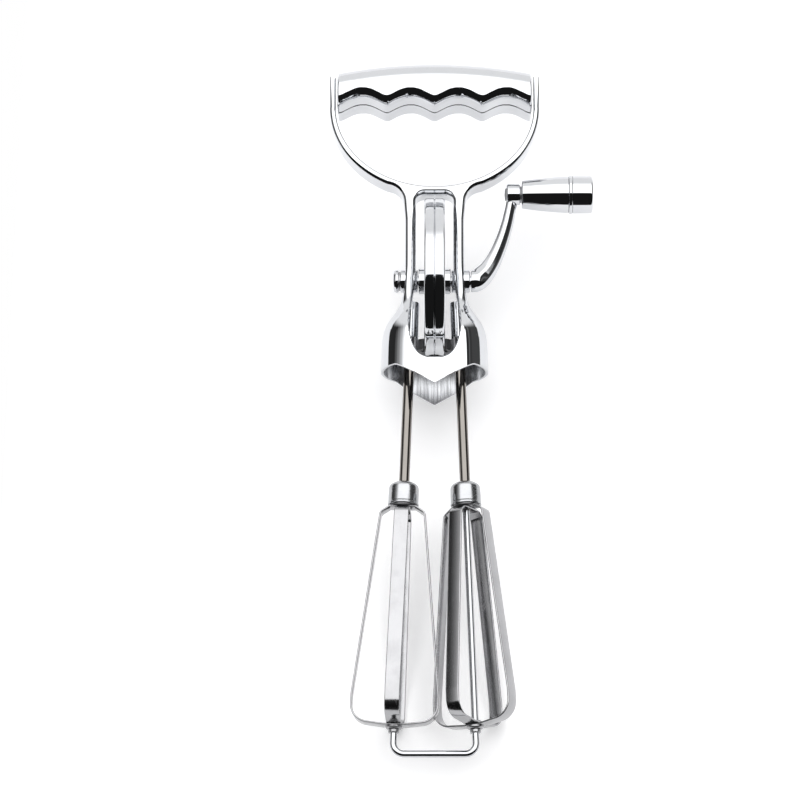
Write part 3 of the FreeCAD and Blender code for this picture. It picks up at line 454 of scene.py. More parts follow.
def finish(name):
    """Material by name, made once from the finish settings."""
    if name not in FINISHES:
        settings = bpy.context.scene.egg_beater_finish
        chrome = tuple(settings.chrome_colour)
        steel = tuple(settings.steel_colour)
        gear = tuple(settings.gear_colour)
        polish = settings.chrome_roughness
        satin = settings.satin_roughness
        # colour, roughness, scratches, ripple, grain, tint and inner wall mask for painted shade
        recipes = {
            "cast_chrome": (chrome, polish, 0.25, 0.22, (1, 1, 1), 0.03, inside_housing),
            "turned_chrome": (chrome, polish, 0.25, 0.22, (1, 1, 1), 0.03),
            "grip_chrome": (chrome, polish * 0.8, 0.2, 0.15, (1, 1, 1), 0.02),
            "wheel_chrome": (chrome, polish * 1.3, 0.3, 0.3, (0.2, 1, 1), 0.04),
            "knob_chrome": (chrome, polish * 0.7, 0.15, 0.08, (0.2, 1, 1), 0.02),
            # drive tubes: chrome darkened to the tube colour as painted shade
            "rod_chrome_shaded": (tuple(settings.shaded_tube_colour), polish * 1.6, 0.3, 0.1, (1, 1, 0.1), 0.05),
            # support wire: chrome darkened by a fifth as painted shade
            "wire_chrome_shaded": (scaled(chrome, 0.8), polish * 1.4, 0.3, 0.1, (1, 1, 1), 0.04),
            "strip_steel": (steel, satin * 0.6, 0.6, 0.25, (1, 1, 0.05), 0.08),
            "cap_steel": (scaled(chrome, 0.68), satin * 0.8, 0.5, 0.15, (1, 1, 3), 0.08),
            "plain_steel": (steel, satin * 1.1, 0.6, 0.2, (1, 1, 1), 0.1),
            "gear_steel": (gear, satin * 1.2, 0.8, 0.3, (1, 1, 1), 0.12),
        }
        FINISHES[name] = metal(name, *recipes[name])
    return FINISHES[name]


# ---- grip

# scallop depth, half the ridge spacing, edge radii and half the gap between the shells
GRIP_SIZES = {
    "wave": 3.7, "step": 10.4, "upper_round": 9.6, "end_round": 1.0, "seam_round": 0.8,
    "split": 0.12,
}
LOWER_ROUND = {"grip_front": 5.2, "grip_rear": 2.2}
TOP_FALL = 4.4  # of the top, from the middle to the ends
RIDGE_BLUNT, RIDGE_POWER = 0.035, 0.56
SEAM_LENGTH = 1.5  # along the section, over the rounded seam
SEAM_SHARE, SKIN_SHARE = 0.1, 0.9  # shares of the section where the seam and the skin end
GRIP_ANGLE = 50  # degrees; ridges blunter than this are smooth
RECESS_DEPTH = 1.3  # over the screw heads in the rear shell


def wave_height(x, step, depth, base):
    """Underside of the grip: round scallops between narrow, blunted ridges."""
    lowest = RIDGE_BLUNT ** RIDGE_POWER
    away = (sin(pi * x / (2 * step)) ** 2 + RIDGE_BLUNT) ** RIDGE_POWER
    return base + depth * min(1.0, (away - lowest) / (1 - lowest))


def grip_section(x, share, sizes):
    """Point of a shell's section at x; share runs once round it, from above its lower seam."""
    half_depth, split = sizes["half_depth"], sizes["split"]
    top = sizes["top"] - (sizes["top"] - sizes["shoulder"]) * (x / sizes["half_length"]) ** 2
    bottom = wave_height(x, sizes["step"], sizes["wave"], sizes["bottom"])
    line = rounded([
        (-split, bottom + 1.0), (-split, bottom, sizes["seam_round"]),
        (-half_depth, bottom, sizes["lower_round"]), (-half_depth, top, sizes["upper_round"]),
        (-split, top + 0.5),
    ], 10)
    if share > SKIN_SHARE:
        down = (share - SKIN_SHARE) / (1 - SKIN_SHARE)
        return -split, line[-1][1] + (line[0][1] - line[-1][1]) * down
    lengths = [0.0]
    for first, second in zip(line, line[1:]):
        lengths.append(lengths[-1] + dist(first, second))
    if share < SEAM_SHARE:
        want = SEAM_LENGTH * share / SEAM_SHARE
    else:
        skin = lengths[-1] - SEAM_LENGTH
        want = SEAM_LENGTH + skin * (share - SEAM_SHARE) / (SKIN_SHARE - SEAM_SHARE)
    for index in range(1, len(line)):
        if lengths[index] >= want - 1e-9:
            part = (want - lengths[index - 1]) / max(lengths[index] - lengths[index - 1], 1e-9)
            break
    (y0, z0), (y1, z1) = line[index - 1], line[index]
    return y0 + (y1 - y0) * part, z0 + (z1 - z0) * part


def grip_half(name, sizes, front):
    """Front or rear shell of the grip: a waved skin closed along the split and at its ends."""
    length = sizes["half_length"]

    def place(u, v):
        x = (2 * u - 1) * length
        edge = max(0.0, abs(x) - (length - sizes["end_round"])) / sizes["end_round"]
        shrink = sizes["end_round"] * (1 - sqrt(max(0.0, 1 - edge * edge)))
        inner = dict(sizes, bottom=sizes["bottom"] + shrink)
        for key in ("half_depth", "top", "shoulder"):
            inner[key] -= shrink
        depth, height = grip_section(x, v, inner)
        return (x, depth if front else -depth, height)

    return surface(name, place, 240, 60, GRIP_ANGLE)


class EGGBEATER_OT_grip(bpy.types.Operator):
    """Waved hand grip in two chrome shells, with the screws at its rear"""

    bl_idname = "egg_beater.grip"
    bl_label = "Hand grip"

    def execute(self, context):
        top, bottom = high("grip_front_shell"), low("grip_front_shell")
        sizes = dict(GRIP_SIZES, half_length=top.x, half_depth=-bottom.y, top=top.z,
                     shoulder=top.z - TOP_FALL, bottom=bottom.z)
        for name, lower_round in LOWER_ROUND.items():
            sizes["lower_round"] = lower_round
            front = name == "grip_front"
            shell = grip_half(name, sizes, front)
            if not front:
                self.recess_screws(shell)
            settle(shell, "frame", "grip_chrome", "grip_chrome", name + "_shell")
        return {"FINISHED"}

    def recess_screws(self, shell):
        """Round recesses over the two screw heads."""
        left, right = low("grip_screws"), high("grip_screws")
        head = (right.z - left.z) / 2
        wall, rim = head + 0.1, head + 0.6
        profile = [(0, 0), (0, wall), (1.25, wall, 0.3), (1.7, rim), (4, rim), (4, 0)]
        for x in (left.x + head, right.x - head):
            base = Vector((x, right.y - RECESS_DEPTH, left.z + head))
            cut_away(shell, turned("recess", profile, 3, base, REAR, 48))
        smooth(shell, GRIP_ANGLE)


# ---- frame casting

def arc(centre, radii, start, end, steps):
    """Points on an ellipse from one angle to another, in degrees."""
    points = []
    for step in range(steps + 1):
        angle = radians(start + (end - start) * step / steps)
        points.append((centre[0] + radii[0] * cos(angle), centre[1] + radii[1] * sin(angle)))
    return points


# outer and inner half width and half depth of the legs; height where the loop's part begins
LEG_OUT, LEG_IN, LEG_DEPTH, LEG_JOIN = 12.75, 8.1, 5.6, 236.0
LOOP_CENTRE, LOOP_TIPS = (0.0, 288.0), 302.0  # middle of the ellipses, height of the tips
LOOP_OUTER, LOOP_INNER = (45.7, 40.5), (43.0, 37.0)
EDGE_ROUND = 2.15  # edges of the legs
LOOP_ROUND = 1.7  # outer edges of the hand loop
SLOT_ROUND = 1.0  # edge of the slot in the housing
FINE_REACH = 2.5  # the skin is divided more finely this near the slot
HOUSE_WALL = 1.35
HOUSE_BOTTOM, HOLLOW_HEIGHTS = 156.0, (155.0, 197.5)
# height, half width, half depth and corner radius of the housing, up into the legs
HOUSE_SECTIONS = [
    (HOUSE_BOTTOM, 23.1, 15.7, 15.6), (162, 23.05, 15.7, 15.6), (168, 23, 15.7, 15.6),
    (174, 22.9, 15.7, 15.6), (179.5, 22.7, 15.7, 15.6), (183.5, 22.25, 15.2, 15),
    (187, 21.3, 13.7, 13.4), (190.2, 19.6, 11.7, 11), (193.7, 17, 9.4, 8),
    (197, 15, 7.4, 5.2), (200.5, 13.8, 6.2, 3), (204.5, 13.1, 5.75, 1.9),
    (209, 12.8, LEG_DEPTH, 1.7), (215, LEG_OUT, LEG_DEPTH, EDGE_ROUND),
    (LEG_JOIN, LEG_OUT, LEG_DEPTH, EDGE_ROUND),
]
# half width of the slot for the wheel by height, from its lower end up into the legs
SLOT_SIDE = [
    (169.9, 0), (169.9, 1.8), (170, 3.6), (171.6, 6.6), (175, 8.9), (179.5, 10.2),
    (184.5, 10.75), (190, 10.6), (195.7, 10), (202, 9.15), (209, 8.45), (217, LEG_IN),
    (LEG_JOIN + 6, LEG_IN),
]
# what is cut off below the housing: its rim dips in a shallow V at front and back
RIM = [
    (-30, 150), (30, 150), (30, 167.5), (16.5, 167.5, 3), (0, 158, 0.8), (-16.5, 167.5, 3),
    (-30, 167.5),
]


def loop_outline():
    """Outline of hand loop and legs in the XZ plane, and the outline of the hand opening."""
    near, far = LOOP_INNER[0], LOOP_OUTER[0]
    right = [(near, LOOP_TIPS), (near + 0.9, LOOP_TIPS + 0.7), (far - 0.7, LOOP_TIPS + 0.7),
             (far, LOOP_TIPS)]
    right += arc(LOOP_CENTRE, LOOP_OUTER, 0, -63.5, 60)
    root = rounded([right[-1], (LEG_OUT + 1.1, 250.3, 7.5), (LEG_OUT, LEG_JOIN)], 10)
    right += root[1:]
    right += [(LEG_OUT, LEG_JOIN - 8), (LEG_IN, LEG_JOIN - 8)]
    right += rounded([(LEG_IN, LEG_JOIN), (LEG_IN, 247.8, 3.6), (0.0, 247.8)], 8)[:-1]
    left = [(-x, z) for x, z in reversed(right)]
    return right + left, arc(LOOP_CENTRE, LOOP_INNER, 180, 360, 120)


def smooth_value(stations, height, column):
    """Catmull-Rom value of a section table at a height."""
    last = len(stations) - 1
    index = 0
    while index < last - 1 and height > stations[index + 1][0]:
        index += 1
    a, b = stations[index], stations[index + 1]
    before, after = stations[max(index - 1, 0)], stations[min(index + 2, last)]
    span = b[0] - a[0]
    share = (height - a[0]) / span
    slope_a = (b[column] - before[column]) / max(b[0] - before[0], 1e-6) * span
    slope_b = (after[column] - a[column]) / max(after[0] - a[0], 1e-6) * span
    square, cube = share * share, share ** 3
    return ((2 * cube - 3 * square + 1) * a[column] + (cube - 2 * square + share) * slope_a
            + (3 * square - 2 * cube) * b[column] + (cube - square) * slope_b)


def house_section(height, wall=0.0):
    """Half width, half depth and corner radius at a height, moved in by the wall."""
    slope = clamp((height - 176.0) / 10)
    level = min(height + wall * slope, HOUSE_SECTIONS[-1][0])
    wide, deep, corner = (smooth_value(HOUSE_SECTIONS, level, column) - wall
                          for column in (1, 2, 3))
    return wide, deep, min(max(corner, 0.3), deep - 0.01, wide - 0.01)


def house_skin(name, wall, bottom, top, rows):
    """Closed loft of the housing and leg roots, moved inwards by the wall."""
    def place(u, v):
        height = bottom + (top - bottom) * u
        return (*stadium_point(*house_section(height, wall), v), height)

    return surface(name, place, rows, 161)


def stadium_point(wide, deep, corner, share):
    """Point at a share of the way round a rounded rectangle, starting at the rear middle."""
    quarter, along = divmod(share * 4 % 4, 1)
    if quarter in (1, 3):
        along = 1 - along
    flat, turn = 0.45, 0.95
    across, back = wide - corner, deep - corner
    if along < flat:
        x, y = across * along / flat, deep
    elif along < turn:
        angle = pi / 2 * (1 - (along - flat) / (turn - flat))
        x, y = across + corner * cos(angle), back + corner * sin(angle)
    else:
        x, y = wide, back * (1 - (along - turn) / (1 - turn))
    return (x if quarter < 2 else -x), (y if quarter in (0, 3) else -y)


def wheel_slot():
    """Outline of the slot through the housing's walls and between the legs."""
    side = SLOT_SIDE
    fine = []
    for first, second in zip(range(1, len(side) - 1), range(2, len(side))):
        p0, p1, p2, p3 = (Vector(side[max(0, min(i, len(side) - 1))])
                          for i in (first - 1, first, second, second + 1))
        for step in range(5):
            t = step / 5
            point = 0.5 * (2 * p1 + (p2 - p0) * t + (2 * p0 - 5 * p1 + 4 * p2 - p3) * t * t
                           + (3 * p1 - p0 - 3 * p2 + p3) * t ** 3)
            fine.append((point.y, point.x))
    fine.append((side[-1][1], side[-1][0]))
    right = [(0.0, side[0][0])] + fine
    return right + [(-x, z) for x, z in reversed(right[1:])]


def slot_round(height):
    """Radius of the slot's rounded edge, growing from the housing up into the legs."""
    return SLOT_ROUND + (EDGE_ROUND - SLOT_ROUND) * ease(clamp((height - 197) / 12))


def edge_distance(x, z, outline):
    """Distance in the XZ plane from a point to the open outline of the slot."""
    point = Vector((x, z))
    best = 1e9
    for first, second in outline:
        along = second - first
        share = clamp((point - first).dot(along) / along.length_squared)
        best = min(best, (first + along * share - point).length)
    return best


def slot_segments():
    """Segments of the slot's outline, without the one across its open top."""
    points = [Vector(point) for point in wheel_slot()]
    segments = list(zip(points, points[1:] + points[:1]))
    return [pair for pair in segments if min(pair[0].y, pair[1].y) < LEG_JOIN + 5.9]


def near_slot(corner):
    """Whether a corner of the skin is close enough to the slot to matter."""
    return abs(corner.x) < 14 * MM and corner.z > 167 * MM


def refine_near_slot(skin, segments):
    """Divide the skin's faces more finely beside the slot."""
    pick(skin)
    for face in skin.data.polygons:
        centre = face.center
        away = edge_distance(centre.x / MM, centre.z / MM, segments) if near_slot(centre) else 99
        face.select = away < FINE_REACH
    bpy.ops.object.mode_set(mode="EDIT")
    bpy.ops.mesh.select_mode(type="FACE")
    bpy.ops.mesh.subdivide(number_cuts=2)
    bpy.ops.mesh.select_mode(type="VERT")
    bpy.ops.object.mode_set(mode="OBJECT")


def round_slot(skin, segments):
    """Press the outer skin in along a quarter circle beside the slot."""
    for corner in skin.data.vertices:
        place = corner.co
        if not near_slot(place):
            continue
        x, height = abs(place.x) / MM, place.z / MM
        wide, deep, bend = house_section(min(height, LEG_JOIN))
        into = max(x - (wide - bend), 0)
        outer = deep - bend + sqrt(max(bend * bend - into * into, 0))
        if abs(place.y) / MM < outer - 0.3:
            continue
        away = edge_distance(place.x / MM, height, segments)
        radius = slot_round(height)
        if away < radius:
            push = radius - sqrt(radius ** 2 - (radius - away) ** 2)
            place.y -= copysign(push * MM, place.y)


def weigh_loop_edges(loop, share):
    """Bevel weights: full on leg edges, less on the loop and its opening, none at the tips."""
    mesh = loop.data
    weights = mesh.attributes.new("bevel_weight_edge", "FLOAT", "EDGE")
    for edge in mesh.edges:
        first, second = (mesh.vertices[index].co / MM for index in edge.vertices)
        middle = (first + second) / 2
        flat = abs(first.y - second.y) < 0.1
        if not flat or middle.z > 302.2 or middle.z < LEG_JOIN - 7.9:
            continue
        opening = (middle.x / 44.3) ** 2 + ((middle.z - 288) / 38.6) ** 2
        inside = opening < 1 and middle.z > 249.5
        climb = clamp((middle.z - LEG_JOIN - 12) / 20)
        outer = 1 + (LOOP_ROUND / EDGE_ROUND - 1) * climb
        weights.data[edge.index].value = share if inside else outer


class EGGBEATER_OT_casting(bpy.types.Operator):
    """Hand loop, legs, axle bosses and gear housing of the chrome frame casting"""

    bl_idname = "egg_beater.casting"
    bl_label = "Frame casting"

    def execute(self, context):
        sizes = context.scene.egg_beater_sizes
        outline, opening = loop_outline()
        loop = slab("loop", outline, -LEG_DEPTH, LEG_DEPTH)
        reach = LOOP_INNER[0]
        cut_away(loop, slab("hole", opening + [(reach, 330.0), (-reach, 330.0)], -20, 20))
        weigh_loop_edges(loop, sizes.inner_rounding / sizes.leg_rounding)
        bevel(loop, sizes.leg_rounding / MM, 5, None)
        below = [(-30, 200), (30, 200), (30, LEG_JOIN), (-30, LEG_JOIN)]
        cut_away(loop, slab("below", below, -20, 20))
        house = house_skin("house", 0.0, HOUSE_BOTTOM, LEG_JOIN, 130)
        segments = slot_segments()
        refine_near_slot(house, segments)
        cut_away(house, house_skin("hollow", HOUSE_WALL, *HOLLOW_HEIGHTS, 60))
        cut_away(house, slab("slot", wheel_slot(), -30, 30))
        round_slot(house, segments)
        cut_away(house, slab("rim", rounded(RIM, 4), -30, 30))
        smooth(house, 30)
        parts = [loop, house]
        for word, side, reach in (("right", 1, 15.2), ("left", -1, 14.7)):
            profile = [(7.25, 2.55), (7.25, 4.95, 0.35), (reach, 4.95, 0.5), (reach, 2.55)]
            parts.append(turned("boss_" + word, profile, 3, AXLE, RIGHT * side, 64))
            foot, line = beater_line(word)
            profile = [(182.5, 1.5), (182.5, 3.3, 0.8), (199.0, 3.3), (199.5, 1.5)]
            parts.append(turned("socket_" + word, profile, 3, foot, line, 48))
        casting = join("casting", *parts)
        settle(casting, "frame", "chrome_plate", "cast_chrome", "frame_casting")
        return {"FINISHED"}


# ---- wire and tubes

WIRE_RADIUS, WIRE_BEND, WIRE_TOP = 1.5, 4.5, 194.6
TUBE_RADIUS, TUBE_BORE = 2.2, 1.55


def wire_path(share):
    """Point and direction on the U-shaped wire, by share of its length."""
    foot, line = beater_line("right")
    radius, bend = WIRE_RADIUS, WIRE_BEND
    angle = atan2(-line.x, line.z)
    back = bend * tan((pi / 2 + angle) / 2)
    corner = foot + line * (radius / line.z)
    leg_start = corner + line * back
    bar_end = corner - RIGHT * back
    centre = Vector((bar_end.x, 0, radius + bend))
    turn = pi / 2 + angle
    leg_length = (WIRE_TOP - leg_start.z) / line.z
    half = bar_end.x
    total = half + bend * turn + leg_length
    travel = (share * 2 - 1) * total
    side = 1 if travel >= 0 else -1
    travel = abs(travel)
    if travel < half:
        point, way = Vector((travel, 0, radius)), RIGHT.copy()
    elif travel < half + bend * turn:
        swing = (travel - half) / bend
        point = centre + Vector((sin(swing), 0, -cos(swing))) * bend
        way = Vector((cos(swing), 0, sin(swing)))
    else:
        point, way = leg_start + line * (travel - half - bend * turn), line.copy()
    return Vector((point.x * side, 0, point.z)), Vector((way.x, 0, way.z * side))


class EGGBEATER_OT_wire(bpy.types.Operator):
    """Bent support wire and the tubes that turn on it"""

    bl_idname = "egg_beater.wire"
    bl_label = "Wire and tubes"

    def execute(self, context):
        def place(u, v):
            return round_path(*wire_path(u), 2 * pi * v, WIRE_RADIUS)

        wire = surface("wire", place, 900, 33)
        settle(wire, "frame", "chrome_plate", "wire_chrome_shaded", "support_wire")
        for word in ("left", "right"):
            foot, line = beater_line(word)
            top = (high("drive_tube_" + word).z - foot.z) / line.z
            bottom = (low("drive_tube_" + word).z - foot.z) / line.z
            profile = [(bottom, TUBE_BORE), (bottom, TUBE_RADIUS), (top, TUBE_RADIUS, 0.15),
                       (top, TUBE_BORE), (bottom, TUBE_BORE)]
            tube = turned("tube_" + word, profile, 3, foot, line, 48)
            settle(tube, word + "_beater", "chrome_plate", "rod_chrome_shaded", "drive_tube_" + word)
        return {"FINISHED"}


# ---- wheel and axle

# profiles to turn: distance along the axis, radius and, at a rounded corner, its radius
WHEEL_PROFILE = [
    (0, 2.5), (6.9, 2.5), (6.9, 5.6, 0.5), (2, 5.6, 0.8), (2, 33.9, 0.5),
    (4.4, 33.9, 0.3), (4.4, WHEEL_RADIUS - 0.15, 1), (2.2, WHEEL_RADIUS, 6),
    (0.35, WHEEL_RADIUS - 0.02, 0.3), (0, WHEEL_RADIUS - 0.5), (0, 2.5),
]
AXLE_PROFILE = [
    (-17.7, 0), (-17.7, 4.4, 0.9), (-16.6, 5, 0.5), (-15.5, 5, 0.4), (-15.5, 2.5),
    (21, 2.5, 0.3), (21, 0),
]
# inner and outer end of a face tooth, then (reach from the wheel's middle, half width)
TOOTH_INNER, TOOTH_OUTER = 27.5, 34.0
TOOTH_ROOT, TOOTH_TIP = (1.9, 0.9), (4.3, 0.38)
TOOTH_EDGE, TOOTH_COUNT = 0.14, 50


class EGGBEATER_OT_wheel(bpy.types.Operator):
    """Crown wheel in two toothed halves and the axle"""

    bl_idname = "egg_beater.wheel"
    bl_label = "Crown wheel"

    def execute(self, context):
        for word, side in (("left", -1), ("right", 1)):
            name = "wheel_" + word
            half = turned(name, WHEEL_PROFILE, 5, AXLE, RIGHT * side, 160)
            half = join(name, half, self.teeth(side))
            settle(half, "drive", "wheel_chrome", "wheel_chrome", name + "_half")
        axle = turned("axle_pin", AXLE_PROFILE, 5, AXLE, RIGHT, 64)
        settle(axle, "drive", "chrome_plate", "turned_chrome", "axle")
        return {"FINISHED"}

    def teeth(self, side):
        """Ring of face teeth: one tooth is shaped, then spun round as copies."""
        deselect()
        bpy.ops.mesh.primitive_cube_add(size=MM)
        tooth = bpy.context.object
        for corner in tooth.data.vertices:
            reach, half = TOOTH_TIP if corner.co.x * side > 0 else TOOTH_ROOT
            run = TOOTH_OUTER if corner.co.z < 0 else TOOTH_INNER
            corner.co = Vector((side * reach, copysign(half, corner.co.y), AXLE.z - run)) * MM
        bevel(tooth, TOOTH_EDGE, 2, 30)
        bpy.ops.object.mode_set(mode="EDIT")
        select_mesh()
        bpy.ops.mesh.spin(steps=TOOTH_COUNT, angle=2 * pi, dupli=True, center=AXLE * MM,
                          axis=RIGHT)
        close_mesh()
        return finish_mesh(tooth)


# ---- crank and knob

CRANK_LINE = [
    # x, height and radius of the arm's centre line
    (15.6, 209, 4.95), (18.2, 209.5, 4.85), (20.6, 211.3, 4.45), (23.4, 214.8, 3.85),
    (26.2, 220, 3.4), (29.1, 227.4, 3), (31.4, 235.3, 2.7), (33, 243, 2.5), (33.8, 248, 2.4),
]
# flanks of the arm's section: direction in degrees from its front towards its right, and distance
ARM_FLANKS = [
    (25.5, 0.8), (65, 0.86), (90, 0.97), (150, 0.86),
    (-160, 0.93), (-90, 0.97), (-38, 1.03), (-20, 0.95),
]
ARM_SHARPNESS = 24
# shares of the arm's length: where it leaves the hub's direction, where the ridges grow
ARM_ROOT, RIDGE_START, RIDGE_GROWTH = 0.12, 0.08, 0.22
HEAD_PROFILE = [(31.1, 0), (31.1, 4.65, 0.9), (37, 4.65, 0.5), (37, 0)]
SPINDLE_PROFILE = [
    (30.2, 0), (30.5, 2.6, 0.6), (31.1, 2.9), (31.1, 2), (37, 2), (37, 3.6, 0.1),
    (37.55, 3.6, 0.1), (37.55, 2), (61, 2), (61, 3.4, 0.3), (62.5, 3, 0.3), (62.5, 0),
]


def arm_reach(turn):
    """Radius of the arm's ridged section in a direction, as a share of its half width."""
    total = 0.0
    for way, distance in ARM_FLANKS:
        total += (max(cos(turn - radians(way)), 0.0) / distance) ** ARM_SHARPNESS
    return total ** (-1 / ARM_SHARPNESS)


class EGGBEATER_OT_crank(bpy.types.Operator):
    """Tapered crank arm with its hub, head and knob spindle"""

    bl_idname = "egg_beater.crank"
    bl_label = "Crank arm"

    def execute(self, context):
        stations = [(float(index), *row) for index, row in enumerate(CRANK_LINE)]
        last = len(stations) - 1

        def centre(share):
            along = share * last
            return Vector((smooth_value(stations, along, 1), 0, smooth_value(stations, along, 2)))

        def place(u, v):
            point = centre(u)
            ahead, behind = centre(min(u + 0.01, 1.0)), centre(max(u - 0.01, 0.0))
            way = (ahead - behind).normalized()
            if u < ARM_ROOT:
                way = RIGHT.lerp(way, u / ARM_ROOT).normalized()
            radius = smooth_value(stations, u * last, 3)
            if u < 0.01:
                radius -= 0.4
            angle = 2 * pi * v
            ridged = ease(clamp((u - RIDGE_START) / RIDGE_GROWTH))
            reach = arm_reach(atan2(-cos(angle), -sin(angle)))
            return round_path(point, way, angle, radius * (1 + (reach - 1) * ridged))

        arm = surface("arm", place, 120, 73)
        head = turned("head", HEAD_PROFILE, 5, KNOB_AXIS, RIGHT, 72)
        crank = join("crank", arm, head)
        settle(crank, "drive", "chrome_plate", "turned_chrome", "crank_arm")
        spindle = turned("spindle", SPINDLE_PROFILE, 4, KNOB_AXIS, RIGHT, 48)
        settle(spindle, "drive", "steel", "plain_steel", "knob_spindle")
        return {"FINISHED"}


BARREL_START, BARREL_LENGTH, BARREL_STEPS = 37.6, 20.4, 8
BARREL_PROFILE = [
    (37.6, 2.05), (37.6, 6.1, 0.7),
    *((BARREL_START + BARREL_LENGTH * step / BARREL_STEPS,
       6.1 + 1.9 * sin(pi / 2 * step / BARREL_STEPS * 0.93))
      for step in range(1, BARREL_STEPS)),
    (57.95, 8, 0.25), (57.95, 5), (60.9, 5), (60.9, 2.05), (37.6, 2.05),
]
BAND_PROFILE = [(57.99, 5.02), (58, 8.55, 0.4), (59.55, 8.55, 0.4), (59.55, 5.02), (57.99, 5.02)]
CAP_PROFILE = [
    (59.6, 5.02), (59.6, 8.2, 0.2), (68.4, 8.2, 1.1), (68.4, 0), (63.6, 0), (63.6, 5.02),
    (59.6, 5.02),
]


class EGGBEATER_OT_knob(bpy.types.Operator):
    """Tapered knob barrel with its ring and end cap"""

    bl_idname = "egg_beater.knob"
    bl_label = "Crank knob"

    def execute(self, context):
        for name, profile, bends, node in (
                ("knob_grip", BARREL_PROFILE, 5, "knob_barrel"),
                ("knob_band", BAND_PROFILE, 5, "knob_ring"),
                ("knob_cap", CAP_PROFILE, 6, "knob_end_cap")):
            piece = turned(name, profile, bends, KNOB_AXIS, RIGHT, 96)
            settle(piece, "knob", "knob_chrome", "knob_chrome", node)
        return {"FINISHED"}


# ---- beaters

HOOP_GAUGE, HOOP_WIDTH, HOOP_EDGE = 0.8, 6.2, 0.34
HUB_CAP_PROFILE = [
    (117.6, 2.08), (118.6, 2.1, 0.2), (118.4, 3.9, 0.9), (117, 6.3, 2.3), (112.5, 6.42, 3),
    (109.7, 6.42, 0.2), (109.4, 6.25, 0.2), (109.1, 6.55, 0.2), (108.4, 6.55, 0.2),
    (108.4, 5.45), (113.9, 5.25), (116.4, 2.98), (116.4, 2.08), (117.6, 2.08),
]
EYELET_PROFILE = [
    (12, 1.55), (12, 3, 0.4), (12.6, 3.5, 0.3), (13.2, 3.5), (13.2, 2.1), (14.8, 2.1),
    (14.8, 2.8, 0.2), (15.4, 2.6, 0.3), (15.4, 1.55), (12, 1.55),
]


def hoop_path(inset):
    """Centre line of a hoop as (radius, height) from the top middle to the bottom middle."""
    middle = inset + HOOP_GAUGE / 2
    top, floor, wide, corner = 108.0 - middle, 13.2 + middle, 18.4 - middle, 8.0 - middle
    knee = floor + 1.5
    return rounded([
        (0, top), (5.4, top, 1.6), (9.7 - middle, 105.2 - 0.6 * middle, 2.2), (wide, 26.0, 14.0),
        (wide, knee + corner * 0.02, corner * 0.97), (4.6, floor, 3.0), (0, floor)], 10)


class EGGBEATER_OT_beaters(bpy.types.Operator):
    """Hub caps, crossing hoops and eyelets of both beaters"""

    bl_idname = "egg_beater.beaters"
    bl_label = "Beaters"

    def execute(self, context):
        for word in ("left", "right"):
            foot, line = beater_line(word)
            body = word + "_beater"
            spin = SPIN_AT_REST[word]
            for name, turn, inset in (("outer", spin, 0.0), ("inner", spin + 90, HOOP_GAUGE)):
                hoop = self.hoop("%s_strip_%s" % (name, word), inset, turn, foot, line)
                settle(hoop, body, "satin_steel", "strip_steel", "%s_hoop_%s" % (name, word))
            dome = turned("dome_" + word, HUB_CAP_PROFILE, 5, foot, line, 80)
            settle(dome, body, "satin_steel", "cap_steel", "hub_cap_" + word)
            eyelet = turned("eye_" + word, EYELET_PROFILE, 4, foot, line, 48)
            settle(eyelet, body, "steel", "plain_steel", "eyelet_" + word)
        return {"FINISHED"}

    def hoop(self, name, inset, turn, foot, line):
        """Closed strip: path extruded to its width, given its gauge and rounded edges."""
        half = hoop_path(inset)
        path = half + [(-radius, height) for radius, height in reversed(half[1:-1])]
        piece = chain(name, [(radius, -HOOP_WIDTH / 2, height)
                             for radius, height in path + [path[0]]])
        merge_corners()
        extrude((0, HOOP_WIDTH * MM, 0))
        close_mesh()
        modify(piece, "SOLIDIFY", thickness=HOOP_GAUGE * MM, offset=0.0, use_even_offset=True)
        bevel(piece, HOOP_EDGE, 3, 50)
        lean = UP.rotation_difference(line).to_matrix().to_4x4()
        spin = Matrix.Rotation(radians(turn), 4, "Z")
        piece.matrix_world = Matrix.Translation(foot * MM) @ lean @ spin
        apply_place(piece)
        return piece


# ---- CAD nodes that stay

KEPT_NODES = {
    "plain_steel": (
        "grip_screws", "wire_stops", "axle_washer", "wheel_rivets", "thrust_washer_left",
        "thrust_washer_right", "blade_plate_left", "blade_plate_right"),
    "gear_steel": ("pinion_left", "pinion_right"),
}


class EGGBEATER_OT_small_parts(bpy.types.Operator):
    """Finishes on the screws, pinions, washers, rivets and plates that keep their CAD shape"""

    bl_idname = "egg_beater.small_parts"
    bl_label = "Small parts"

    def execute(self, context):
        for name, nodes in KEPT_NODES.items():
            for node in nodes:
                coat(frame["nodes"][node], name)
        return {"FINISHED"}


# ---- studio

CAMERA_DISTANCE = 1.6
CAMERA_ELEVATION = radians(-18.5)
CAMERA_TARGET = Vector((0, 0, 0.1553))
FIELD_WIDTH = 0.340  # width seen at the target
SENSOR = 36.0
FLOOR_EDGES = (-0.185, 0.33, -0.75, 0.9)  # left, right, below and above the axle, in metres
FLOOR_GAP = 0.6  # millimetres between the wheel and the floor
HOOP_REST = 22.0  # height where the hoops come nearest the floor, in millimetres
SHIFT_RIGHT = 0.04325  # share of the width by which the object stands right of the middle

# brightness of the studio by direction, as a share of the key light:
# degrees round from the front (right is positive), seen at table height
LIGHT_AROUND = [
    (-180, 0.01), (-114, 0.01), (-78, 0.008), (-73, 0.04), (-66, 0.1), (-60, 0.17), (-56, 0.24),
    (-52, 0.32), (-49, 0.42), (-45, 0.56), (-41, 1), (46, 1), (47.5, 0.012), (54, 0.012),
    (58, 0.085), (61, 0.02), (66, 0.02), (69, 0.03), (98, 0.03), (101, 0.02), (180, 0.02),
]
# degrees above the horizon: floor side, window, ceiling
WINDOW_LOW, WINDOW_HIGH = (-11.0, -9.5), (38.0, 56.0)
CEILING_SHARE = 0.48


